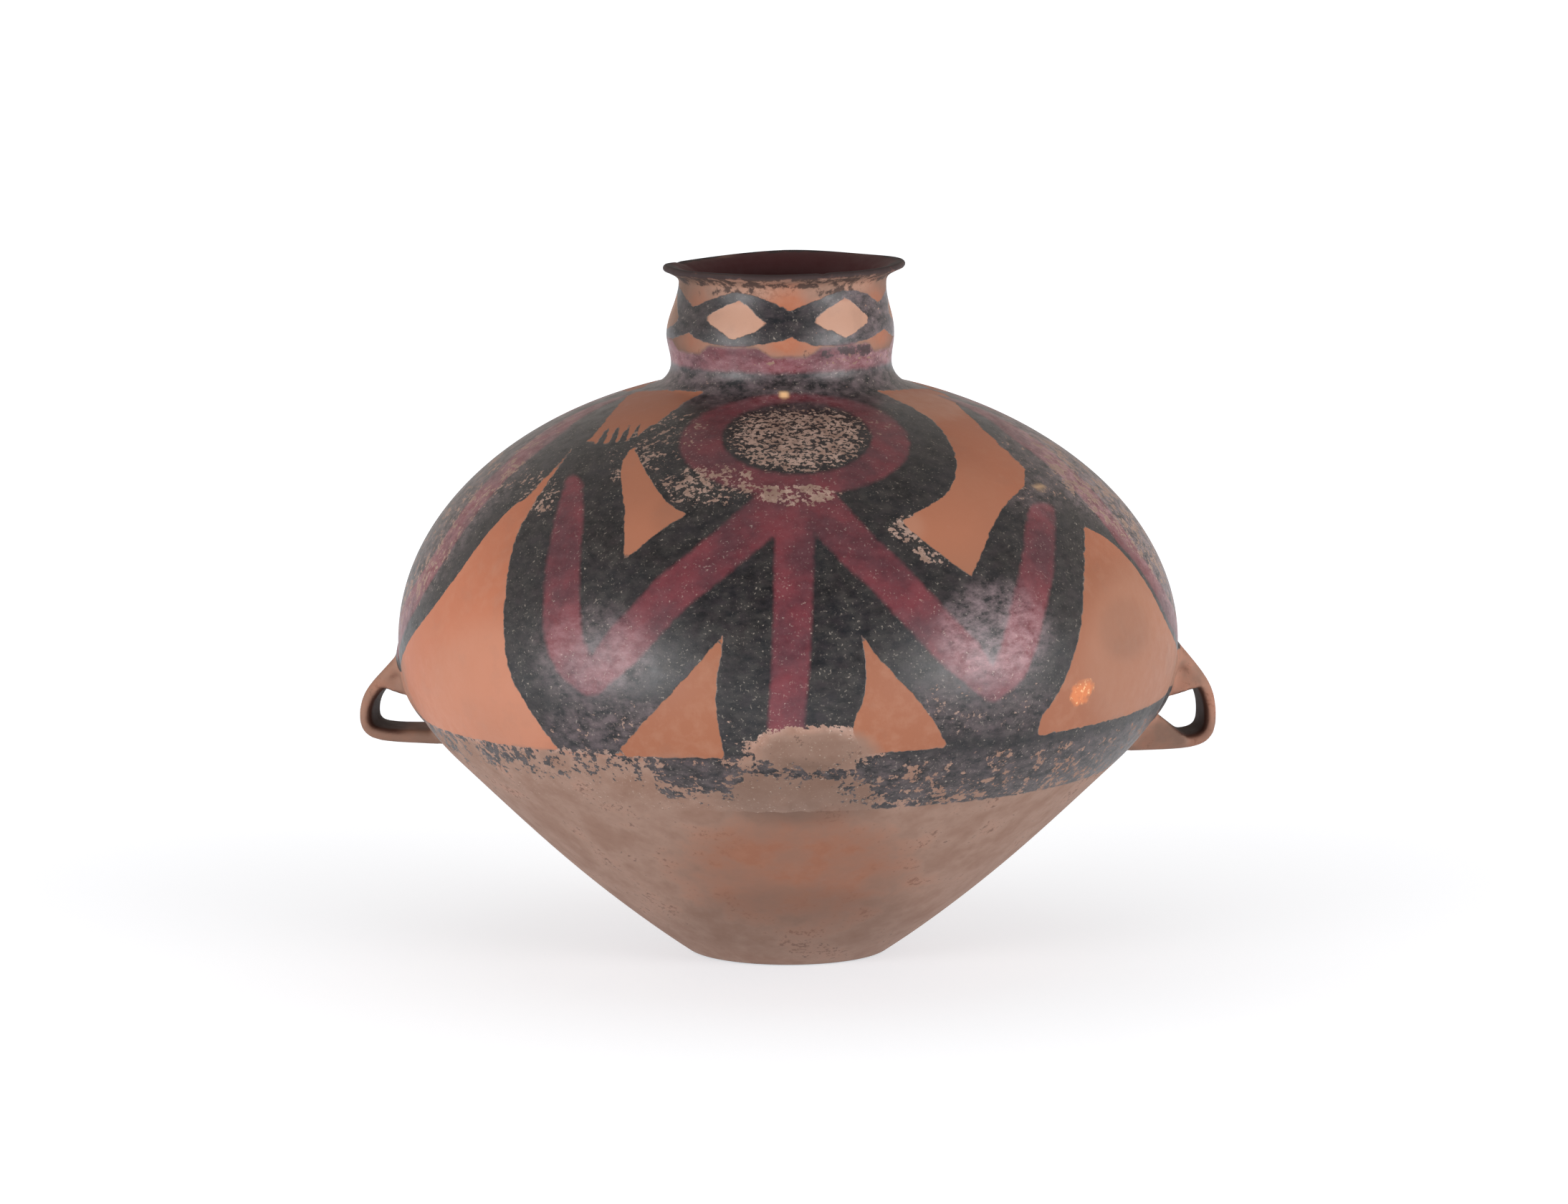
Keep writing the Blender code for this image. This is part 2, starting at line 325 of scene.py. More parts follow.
@dataclass
class JarOutline:
    """The wall's outline as points of (radius, height), in metres."""

    foot_radius: float = 0.0502
    foot_edge: float = 0.0022
    foot_spread_deg: float = 56.0
    cone_top_spread_deg: float = 46.0
    belly_radius: float = 0.2002
    belly_height: float = 0.1610
    tuck_drop: float = 0.0580
    tuck_inset: float = 0.0290
    dome_rise: float = 0.1390
    neck_radius: float = 0.0566
    neck_fillet: float = 0.0100
    collar_radius: float = 0.0584
    collar_rise: float = 0.0246
    throat_radius: float = 0.0532
    throat_rise: float = 0.0512
    lip_radius: float = 0.0628
    lip_rise: float = 0.0592
    lip_flare_deg: float = 52.0
    wall: float = 0.0066
    neck_wall: float = 0.0058
    lip_wall: float = 0.0036
    floor: float = 0.0100
    floor_rounding: float = 0.0120
    neck_shift: float = 0.0040
    rim_shift: float = 0.0020
    rim_dip_deg: float = 1.0
    rows: tuple[int, ...] = (32, 18, 84, 8, 8, 12, 9)
    below_belly: Array | None = field(default=None, repr=False, compare=False)

    @staticmethod
    def leaning(angle_deg: float) -> Vector:
        """The way that leans out from upright by an angle."""
        return Vector((math.sin(math.radians(angle_deg)), math.cos(math.radians(angle_deg))))

    @staticmethod
    def stretch(start: Vector, leave: Vector, end: Vector, arrive: Vector, count: int) -> list[Vector]:
        """One smooth stretch between two points, without its last point."""
        reach = (end - start).length * 0.36
        return bend((start, start + leave * reach, end - arrive * reach, end), count + 1)[:-1]

    def dome_height(self, radius: float) -> float:
        """The shoulder's height at a radius."""
        return self.belly_height + self.dome_rise * math.sqrt(1.0 - (radius / self.belly_radius) ** 2)

    @property
    def spring(self) -> float:
        """The height at which the neck leaves the shoulder."""
        return self.dome_height(self.neck_radius)

    def outer(self) -> list[Vector]:
        """The outside from the heel up to the lip's outer edge."""
        up = Vector((0.0, 1.0))
        cone, tuck, dome, fillet, neck, throat_rows, lip_rows = self.rows
        heel = Vector((self.foot_radius, 0.0)) + self.leaning(self.foot_spread_deg) * self.foot_edge
        cone_top = Vector((self.belly_radius - self.tuck_inset, self.belly_height - self.tuck_drop))
        belly = Vector((self.belly_radius, self.belly_height))
        ring = self.neck_radius + self.neck_fillet
        fall = self.belly_radius ** 2 * math.sqrt(1 - (ring / self.belly_radius) ** 2)
        slope = self.dome_rise * ring / fall
        last = math.acos(ring / self.belly_radius)
        neck_foot = Vector((self.neck_radius, self.spring + self.neck_fillet))
        collar = Vector((self.collar_radius, self.spring + self.collar_rise))
        throat = Vector((self.throat_radius, self.spring + self.throat_rise))
        lip = Vector((self.lip_radius, self.spring + self.lip_rise))
        foot_way, cone_way = self.leaning(self.foot_spread_deg), self.leaning(self.cone_top_spread_deg)
        points = self.stretch(heel, foot_way, cone_top, cone_way, cone)
        points += self.stretch(cone_top, cone_way, belly, up, tuck)
        points += [
            Vector((self.belly_radius * math.cos(last * i / dome),
                    self.belly_height + self.dome_rise * math.sin(last * i / dome)))
            for i in range(dome)
        ]
        fillet_start = Vector((ring, self.dome_height(ring)))
        points += self.stretch(fillet_start, Vector((-1.0, slope)).normalized(), neck_foot, up, fillet)
        points += self.stretch(neck_foot, up, collar, up, neck)
        points += self.stretch(collar, up, throat, up, throat_rows)
        points += self.stretch(throat, up, lip, self.leaning(self.lip_flare_deg), lip_rows)
        return points + [lip]

    def clay_at(self, height: float) -> float:
        """The clay's thickness: even in the body, thinner up the neck, thinnest at the lip."""
        return float(np.interp(
            height, (self.spring, self.spring + self.throat_rise, self.spring + self.lip_rise),
            (self.wall, self.neck_wall, self.lip_wall),
        ))

    def inner(self, outer: list[Vector]) -> list[Vector]:
        """The inside from the floor's centre up to the lip's inner edge, in longer stretches."""
        moved = []
        for i, point in enumerate(outer):
            way = (outer[min(i + 1, len(outer) - 1)] - outer[max(i - 1, 0)]).normalized()
            moved.append(point + Vector((-way.y, way.x)) * self.clay_at(point.y))
        side = [p for p in moved if p.y > self.floor + self.floor_rounding]
        by_lip, step, step_by_lip = -26, 6, 3
        side = side[:by_lip:step] + side[by_lip::step_by_lip]
        rise = (side[1] - side[0]).normalized()
        corner = side[0] - rise * ((side[0].y - self.floor) / rise.y)
        edge = corner - Vector((self.floor_rounding, 0.0))
        turn = bend((edge, corner, corner, side[0]), 5)
        bottom = [Vector((0.0, self.floor)), Vector((edge.x / 2, self.floor))]
        return bottom + turn[:-1] + side

    def closed(self) -> list[Vector]:
        """The whole section, from the floor's centre over the rounded lip down to the underside's centre."""
        outer = self.outer()
        inner = self.inner(outer)
        way = self.leaning(self.lip_flare_deg)
        outwards = Vector((way.y, -way.x))
        half = self.lip_wall / 2
        middle = outer[-1] - outwards * half - way * half
        turns = [math.radians(a) for a in (0, 30, 60, 90, 120, 150, 180)]
        lip = [middle + (outwards * math.cos(a) + way * math.sin(a)) * half for a in turns]
        outer = [p for p in outer if (p - outer[-1]).dot(way) < -half * 1.3 or p.y < self.spring]
        inner = [p for p in inner if (p - inner[-1]).dot(way) < -half * 1.3 or p.y < self.spring]
        heel = outer[0]
        under = Vector((self.foot_radius - self.foot_edge, 0.0))
        toe = Vector((self.foot_radius, 0.0))
        turn = bend((heel, heel * 0.3 + toe * 0.7, toe * 0.6 + under * 0.4, under), 6)
        sole = [Vector((under.x * s, 0.0)) for s in (0.8, 0.5, 0.2, 0.0)]
        return inner + lip[::-1] + outer[:0:-1] + turn + sole

    def radius_at(self, height: float) -> float:
        """The outside's radius at a height up to the belly."""
        if self.below_belly is None:
            self.below_belly = np.array([tuple(p) for p in self.outer() if p.y <= self.belly_height]).T
        return float(np.interp(height, self.below_belly[1], self.below_belly[0]))

    def proud(self, places: Array) -> Array:
        """How far places stand out of the outside, negative within the clay, in metres."""
        line = np.array([tuple(p) for p in self.outer()])
        flat = np.stack([np.hypot(places[:, 0], places[:, 1]), places[:, 2]], axis=1)
        distance, _, left = nearest(flat, line)
        return np.where(left, -distance, distance)

    def slumped(self, places: Array) -> Array:
        """Let the neck stand off the axis towards -X, and dip its rim the same way."""
        x, z = places[:, 0], places[:, 2]
        lean = np.clip((z - self.belly_height) / (self.spring + self.collar_rise - self.belly_height), 0, 1)
        dip = np.clip((z - self.spring) / self.lip_rise, 0, 1)
        moved = places.copy()
        moved[:, 2] += x * math.tan(math.radians(self.rim_dip_deg)) * dip
        moved[:, 0] -= self.neck_shift * lean ** 2 + (self.rim_shift - self.neck_shift) * dip ** 3
        return moved


@dataclass
class VesselWall:
    """The turned wall, finer on the painted front than at the back, and uneven as a coiled pot is."""

    outline: JarOutline
    steps: int = 356
    front_crowding: float = 0.42
    unevenness: float = 0.00045
    rim_wave: float = 0.0006
    rim_sag: float = 0.0019

    def build(self) -> bpy.types.Object:
        """Spin the closed section round the axis and give it its hand-built unevenness."""
        work = bmesh.new()
        verts = [work.verts.new((0.0, p.x, p.y)) for p in self.outline.closed()]
        edges = [work.edges.new(pair) for pair in zip(verts, verts[1:])]
        bmesh.ops.spin(
            work, geom=verts + edges, cent=(0, 0, 0), axis=(0, 0, 1), dvec=(0, 0, 0),
            angle=math.tau, steps=self.steps, use_merge=True, use_duplicate=False,
        )
        bmesh.ops.remove_doubles(work, verts=work.verts, dist=0.00001)
        bmesh.ops.recalc_face_normals(work, faces=work.faces)
        wall = moulded(work, "wall")
        write_places(wall.data, self.hand_built(read_places(wall.data)))
        return wall

    def hand_built(self, places: Array) -> Array:
        """Crowd the facets to the front and press the wall in unevenly, never outwards."""
        x, y, z = places.T
        radius = np.hypot(x, y)
        turn = np.arctan2(x, -y)
        turn = turn - self.front_crowding * np.sin(turn)
        body = ramp(0.0, 0.03, z) * ramp(0.0, 0.03, radius)
        ripple = 0.5 + 0.22 * np.sin(3 * turn + 31 * z + 0.6) + 0.16 * np.sin(5 * turn - 47 * z + 2.1)
        ripple = ripple + 0.12 * np.sin(9 * turn + 90 * z)
        radius = radius - self.unevenness * ripple * body
        shape = self.outline
        above = ramp(shape.spring + shape.throat_rise, shape.spring + shape.lip_rise, z)
        wave = 0.5 + 0.3 * np.sin(2 * turn + 0.9) + 0.2 * np.sin(7 * turn + 2.0)
        nick = swell(0.33, 0.035, turn) + 0.8 * swell(-2.0, 0.05, turn)
        sag = swell(-2.25, 0.5, turn) + 0.7 * swell(2.3, 0.45, turn)
        lift = -above * (self.rim_wave * (wave + nick) + self.rim_sag * sag)
        return np.stack([radius * np.sin(turn), -radius * np.cos(turn), z + lift], axis=1)


def read_places(mesh: bpy.types.Mesh) -> Array:
    """A mesh's vertex places, one row each."""
    flat = np.empty(len(mesh.vertices) * 3)
    mesh.vertices.foreach_get("co", flat)
    return flat.reshape(-1, 3)


def write_places(mesh: bpy.types.Mesh, places: Array) -> None:
    """Move a mesh's vertices."""
    mesh.vertices.foreach_set("co", places.ravel())
    mesh.update()


# The strap handles

class Side(Enum):
    """Which side a strap stands on, and how it sits there."""

    LEFT = (172.0, 0.0140, 0.0530, 0.0, 1.0)
    RIGHT = (8.0, 0.0090, 0.0565, 0.0175, -1.0)

    def __init__(
        self, azimuth_deg: float, root_drop: float, foot_drop: float, foot_clay: float, to_front: float,
    ) -> None:
        """Name the azimuth from +X, both ends' drops, the clay over the foot and the way forwards."""
        self.azimuth = math.radians(azimuth_deg)
        self.root_drop, self.foot_drop = root_drop, foot_drop
        self.foot_clay, self.to_front = foot_clay, to_front


@dataclass
class StrapHandle:
    """A strap of clay bent into a loop, with clay pressed into its corners."""

    side: Side
    outline: JarOutline
    width: float = 0.0300
    thickness: float = 0.0062
    root_widening: float = 1.50
    foot_widening: float = 1.20
    root_spread_deg: float = 42.0
    loop_reach: float = 0.0214
    outermost_drop: float = 0.0430
    web_width: float = 0.0360
    web_drop: float = 0.0265
    web_slope: float = 0.0080
    sunk: float = 0.0034
    points: int = 20
    grain: float = 0.0012
    smears: tuple[tuple[float, float, tuple[float, ...]], ...] = (
        (3.6, 0.1290, (0.031, 0.018, 0.0032)),
        (2.0, 0.1470, (0.026, 0.013, 0.0026)),
        (2.6, 0.1040, (0.026, 0.011, 0.0030)),
    )

    def path(self) -> list[Vector]:
        """The strap's middle line in the (radius, height) plane, from root to foot."""
        shape = self.outline
        peak = Vector((shape.belly_radius + self.loop_reach - self.thickness / 2,
                       shape.belly_height - self.outermost_drop))
        way = shape.leaning(180.0 - self.root_spread_deg)
        root_height = shape.belly_height - self.side.root_drop
        foot_height = shape.belly_height - self.side.foot_drop
        root = Vector((shape.radius_at(root_height), root_height)) - way * self.sunk
        foot = Vector((shape.radius_at(foot_height) - self.sunk, foot_height))
        fall, drop = root.y - peak.y, peak.y - foot.y
        upper = (root, root + way * fall * 0.62, peak + Vector((0.0, fall * 0.42)), peak)
        before_foot = foot + Vector(((peak.x - foot.x) * 0.85, 0.0))
        lower = (peak, peak - Vector((0.0, drop * 1.15)), before_foot, foot)
        return bend(upper, self.points)[:-1] + bend(lower, self.points)[:-1] + [foot]

    def stations(self, line: list[Vector]) -> list[Matrix]:
        """Where the strap's section stands along its line, and how wide it is there."""
        made = []
        for i, place in enumerate(line):
            way = (line[min(i + 1, len(line) - 1)] - line[max(i - 1, 0)]).normalized()
            away = 2.0 * i / (len(line) - 1) - 1.0
            broad = 1.0 + ((self.root_widening if away < 0 else self.foot_widening) - 1.0) * away ** 2
            station = Matrix((
                (0.0, -way.y * broad, way.x, place.x),
                (broad, 0.0, 0.0, 0.0),
                (0.0, way.x * broad, way.y, place.y),
                (0.0, 0.0, 0.0, 1.0),
            ))
            made.append(station)
        return made

    def section(self, work: bmesh.types.BMesh) -> list[bmesh.types.BMEdge]:
        """The strap's flat oval section, closed by a face, at the origin."""
        half = self.thickness / 2
        flat = self.width / 2 - half
        verts = []
        for side, start in ((1, -90), (-1, 90)):
            for turn_deg in range(0, 181, 20):
                angle = math.radians(start + turn_deg)
                place = (side * flat + half * math.cos(angle), half * math.sin(angle), 0)
                verts.append(work.verts.new(place))
        edges = [work.edges.new(pair) for pair in zip(verts, verts[1:] + verts[:1])]
        bmesh.ops.contextual_create(work, geom=edges)
        return edges

    def wedge(self, work: bmesh.types.BMesh, corners: list[Vector], width: float) -> None:
        """Clay pressed into a corner: a flat outline drawn through the strap's width."""
        verts = [work.verts.new((p.x, -width / 2, p.y)) for p in corners]
        face = bmesh.ops.contextual_create(work, geom=verts)["faces"]
        drawn = bmesh.ops.extrude_face_region(work, geom=face)["geom"]
        moved = [item for item in drawn if isinstance(item, bmesh.types.BMVert)]
        bmesh.ops.translate(work, verts=moved, vec=(0.0, width, 0.0))

    def corner_clay(self, line: list[Vector]) -> list[tuple[list[Vector], float]]:
        """The corners filled with clay: under the root, and on the right over the foot."""
        shape = self.outline
        under = shape.belly_height - self.web_drop
        above = [p for p in line if p.y > under]
        below = next(p for p in line if p.y <= under)
        share = (above[-1].y - under) / (above[-1].y - below.y)
        low = under - self.web_slope
        web = above + [above[-1].lerp(below, share), Vector((shape.radius_at(low) - self.sunk, low))]
        filled = [(web, self.web_width)]
        rise = self.side.foot_clay
        if rise:
            foot = line[-1]
            high = foot.y + rise
            filled.append(([
                foot,
                Vector((shape.radius_at(high) - self.sunk, high)),
                Vector((shape.radius_at(high), high)),
                foot + Vector((self.sunk + rise * 1.9, self.thickness * 0.45)),
                foot + Vector((self.sunk + rise * 1.9, 0.0)),
            ], self.web_width))
        return filled

    def smear(
        self, work: bmesh.types.BMesh, ahead_deg: float, height: float, size: tuple[float, ...],
    ) -> None:
        """A thin lens of clay thumbed onto the wall.

        Args:
            work: the strap's bmesh, in the strap's own plane.
            ahead_deg: how far its middle lies in front of the strap.
            height: its middle's height.
            size: half width round the wall, half height and thickness over the wall.
        """
        made = bmesh.ops.create_icosphere(work, subdivisions=5, radius=1.0)["verts"]
        middle = self.side.to_front * math.radians(ahead_deg)
        for vert in made:
            up = height + vert.co.z * size[1]
            radius = self.outline.radius_at(up)
            turn = middle + vert.co.y * size[0] / radius
            radius += vert.co.x * size[2]
            vert.co = (radius * math.cos(turn), radius * math.sin(turn), up)

    def build(self) -> bpy.types.Object:
        """Bend the strap along its line, press in the corner clay and soften the whole as wet clay is."""
        work = bmesh.new()
        line = self.path()
        stations = self.stations(line)
        edges = self.section(work)
        bmesh.ops.transform(work, matrix=stations[0], verts=work.verts)
        for before, after in zip(stations, stations[1:]):
            drawn = bmesh.ops.extrude_edge_only(work, edges=edges)["geom"]
            verts = [item for item in drawn if isinstance(item, bmesh.types.BMVert)]
            edges = [
                e for e in drawn if isinstance(e, bmesh.types.BMEdge) and all(v in verts for v in e.verts)
            ]
            bmesh.ops.transform(work, matrix=after @ before.inverted(), verts=verts)
        bmesh.ops.contextual_create(work, geom=edges)
        for corners, width in self.corner_clay(line):
            self.wedge(work, corners, width)
        for ahead_deg, height, size in self.smears:
            self.smear(work, ahead_deg, height, size)
        bmesh.ops.recalc_face_normals(work, faces=work.faces)
        bmesh.ops.rotate(
            work, verts=work.verts, cent=(0, 0, 0), matrix=Matrix.Rotation(self.side.azimuth, 3, "Z")
        )
        name = f"{self.side.name.lower()}_strap"
        strap = moulded(work, name)
        clay = strap.modifiers.new("one_lump", "REMESH")
        clay.mode = "VOXEL"
        clay.voxel_size = self.grain
        soft = strap.modifiers.new("softened", "SMOOTH")
        soft.factor = 0.5
        soft.iterations = 7
        return plain_mesh(strap, name)


# The painting, in millimetres as laid flat from the front

@dataclass(frozen=True)
class Stroke:
    """A brush stroke: its middle line and its half width at each knot."""

    line: Corners
    half: tuple[float, ...]


@dataclass(frozen=True)
class FigureDrawing:
    """The figure with a ring for a head and bent arms, left dark between fields of bare slip."""

    fields: tuple[Corners, ...] = (
        ((-111, 256), (-125, 241), (-140, 228), (-180, 215), (-240, 200), (-240, 100), (-184, 100),
         (-118, 96), (-118, 103), (-127, 114), (-134, 125), (-140, 135), (-144, 147), (-145.5, 160),
         (-145.5, 174), (-144, 192), (-141, 206), (-137, 217), (-130, 229), (-123.5, 239)),
        ((152, 217), (177, 222), (240, 215), (240, 90), (129, 90), (129, 115), (136, 127), (143, 140),
         (148, 155), (151, 171), (152, 193)),
    )
    openings: tuple[Corners, ...] = (
        ((-79, 259), (-76, 250), (-70, 240), (-62, 229), (-52, 223), (-66, 214), (-76, 206), (-84, 199),
         (-84, 215), (-84, 229), (-86, 242), (-84, 251)),
        ((-76, 286), (-42, 286), (-55, 279), (-64, 272), (-72, 267), (-83, 260), (-104, 259), (-95, 269),
         (-87, 279)),
        ((-32, 163), (-42, 151), (-59, 132), (-75, 115), (-89, 99), (-60, 94), (-32, 94), (-35, 111),
         (-37, 125), (-36, 141), (-34, 154)),
        ((38, 161), (45, 151), (57, 138), (72, 121), (84, 100), (61, 96), (44, 94), (33, 112), (35, 119),
         (39, 128), (40, 143), (39, 154)),
        ((46, 286), (77, 288), (87, 279), (105, 262), (122, 246), (121, 237), (112, 228), (105, 217),
         (99, 202), (94, 191), (83, 199), (70, 209), (58, 219), (70, 226), (81, 233), (86, 243), (86, 253),
         (81, 263), (73, 272), (61, 279)),
    )
    fingers: tuple[tuple[float, float], ...] = ((-99, 260), (-92, 267), (-86, 269), (-81, 269), (-76, 269))
    finger_base: float = 258.0
    finger_half: float = 2.1
    stripes: tuple[Stroke, ...] = (
        Stroke(((4, 236), (3, 193), (2, 156), (-1, 113)), (10.2, 10.0, 9.8, 9.4)),
        Stroke(((-4, 229), (-27, 209), (-44, 195), (-59, 183), (-73, 168), (-86, 154), (-101, 137)),
               (10.6, 10.6, 10.4, 10.4, 10.4, 10.4, 7.0)),
        Stroke(((-110, 238), (-112, 222), (-115, 200), (-116, 178), (-115, 160), (-110, 147), (-102, 137)),
               (4.5, 7.0, 8.4, 9.4, 9.6, 9.4, 7.0)),
        Stroke(((14, 229), (35, 206), (50, 192), (65, 176), (77, 163), (90, 150), (103, 135)),
               (10.6, 10.6, 10.4, 10.4, 10.4, 10.4, 6.5)),
        Stroke(((130, 222), (128, 196), (124, 178), (120, 160), (114, 144), (105, 133)),
               (7.0, 8.6, 8.8, 8.8, 8.4, 6.5)),
    )
    head: tuple[float, float, float, float] = (3.5, 258.5, 59.0, 26.0)
    face: tuple[float, float, float, float] = (4.6, 261.8, 38.5, 18.6)

    @staticmethod
    def oval_reach(points: Array, oval: tuple[float, float, float, float]) -> Array:
        """How far points lie inside an oval given by its middle and half axes."""
        across, up, half_wide, half_tall = oval
        x, y = (points[:, 0] - across) / half_wide, (points[:, 1] - up) / half_tall
        size = np.hypot(x, y)
        slope = np.hypot(x / half_wide, y / half_tall) / np.maximum(size, 1e-6)
        return (1.0 - size) / np.maximum(slope, 1e-6)

    def bare(self, points: Array, beyond: Array) -> Array:
        """How far points lie inside the fields of bare slip.

        Args:
            points: flat places in millimetres.
            beyond: how far each lies inside the side bands, which close the two outer fields.

        Returns:
            The reach, positive on bare slip.
        """
        reach = np.full(len(points), -99.0)
        for corners in self.fields:
            reach = np.maximum(reach, np.minimum(area_reach(points, flowing(corners)), -beyond))
        for corners in self.openings:
            reach = np.maximum(reach, area_reach(points, flowing(corners)))
        for across, up in self.fingers:
            finger = ((across - 5.0, self.finger_base), (across, up))
            reach = np.minimum(reach, -stroke_reach(points, finger, (self.finger_half, 0.2)))
        return reach

    def maroon(self, points: Array) -> Array:
        """How far points lie inside the maroon body, arms and head ring."""
        reach = np.minimum(self.oval_reach(points, self.head), -self.oval_reach(points, self.face))
        for stroke in self.stripes:
            inside = stroke_reach(points, stroke.line, stroke.half)
            reach = np.maximum(reach, np.minimum(inside, -self.oval_reach(points, self.face)))
        return reach


@dataclass(frozen=True)
class SideBand:
    """The leaf-shaped band over each handle, in (forwards, height) millimetres seen from the side."""

    edges: dict[Side, Corners] = field(default_factory=lambda: {
        Side.LEFT: ((20, 296), (46, 284), (69, 267), (83, 255), (88, 243), (91, 228), (91, 208), (79, 187),
                    (52, 166), (26, 152), (8, 145), (-20, 142)),
        Side.RIGHT: ((20, 296), (27, 285), (61, 272), (77, 259), (87, 246), (88, 232), (77, 223), (70, 210),
                     (63, 194), (52, 177), (32, 164), (12, 156), (-20, 153)),
    })
    stripe: Stroke = Stroke(
        ((12, 283), (25, 272), (39, 263), (47, 251), (56, 236), (61, 218), (58, 203), (46, 186), (22, 168),
         (0, 158)),
        (5, 7.0, 8.5, 9.0, 9.2, 9.2, 9.2, 9.2, 8.6, 7.0),
    )

    def reach(self, forwards: Array, height: Array, side: Side) -> Array:
        """How far points lie inside the band's outline."""
        points = np.stack([forwards, height], axis=1)
        return area_reach(points, np.vstack([flowing(self.edges[side], closed=False), [[-20, 296]]]))

    def maroon(self, forwards: Array, height: Array) -> Array:
        """How far points lie inside the band's maroon stripe."""
        return stroke_reach(np.stack([forwards, height], axis=1), self.stripe.line, self.stripe.half)


@dataclass(frozen=True)
class NeckBraid:
    """The bare lozenges in a black braid round the neck, and the maroon ring under it, in millimetres."""

    middle: float = 330.5
    lozenges: int = 6
    first_lozenge_deg: float = -25.0
    lozenge_half_deg: float = 17.5
    lozenge_half_tall: float = 9.6
    crossing_half_tall: float = 6.4
    strand_top: float = 13.6
    ring: tuple[float, float] = (305.0, 313.0)
    ring_swell: float = 5.0
    neck_radius: float = 57.0

    def from_lozenge(self, turn: Array) -> Array:
        """How far azimuths lie from the nearest lozenge's middle: 1 where the strands cross."""
        pitch = math.tau / self.lozenges
        away = np.abs((turn - math.radians(self.first_lozenge_deg) + pitch / 2) % pitch - pitch / 2)
        return away / (pitch / 2)

    def black(self, turn: Array, height: Array) -> Array:
        """How far points lie inside the braid and outside its lozenges."""
        rise = np.abs(height - self.middle)
        share = self.from_lozenge(turn)
        away = share * math.pi / self.lozenges
        edge = self.crossing_half_tall + (self.strand_top - self.crossing_half_tall) * (1 - share ** 1.7)
        half = math.radians(self.lozenge_half_deg)
        fullness = (away / half) ** 1.08 + (rise / self.lozenge_half_tall) ** 1.25
        width = half * self.neck_radius
        lozenge = (1 - fullness) / math.hypot(1.1 / width, 1.2 / self.lozenge_half_tall)
        return np.minimum((edge - rise) * 0.94, -lozenge)

    def chalk(self, turn: Array, height: Array) -> Array:
        """How chalky the bare clay is: most in the lozenges and over the strands' crests."""
        rise = height - self.middle
        from_lozenge = self.from_lozenge(turn)
        inside = 0.80 * ramp(0.62, 0.5, from_lozenge) * ramp(12.0, 9.0, np.abs(rise))
        return np.maximum(inside, 0.50 * ramp(0.95, 0.35, from_lozenge) * ramp(8.0, 15.0, rise))

    def maroon(self, turn: Array, height: Array) -> Array:
        """How far points lie inside the ring, which swells up to the braid under each lozenge."""
        top = self.ring[1] + self.ring_swell * ramp(0.75, 0.40, self.from_lozenge(turn))
        return np.minimum(height - self.ring[0], top - height)


@dataclass(frozen=True)
class WornPatch:
    """A soft-edged oval of wear on the front, in millimetres."""

    across: float
    up: float
    half_wide: float
    half_tall: float
    flaking: float = 0.0
    rubbing_and_highlight: float = 0.0

    def share(self, points: Array) -> Array:
        """1 in the middle of the patch, 0 outside it."""
        x, y = points[:, 0] - self.across, points[:, 1] - self.up
        return ramp(1.25, 0.7, np.hypot(x / self.half_wide, y / self.half_tall))


def patched(*rows: tuple[float, ...]) -> tuple[WornPatch, ...]:
    """Patches from rows of their numbers. Stains and chalky places hold their strength in the last number.
    """
    return tuple(WornPatch(*row) for row in rows)


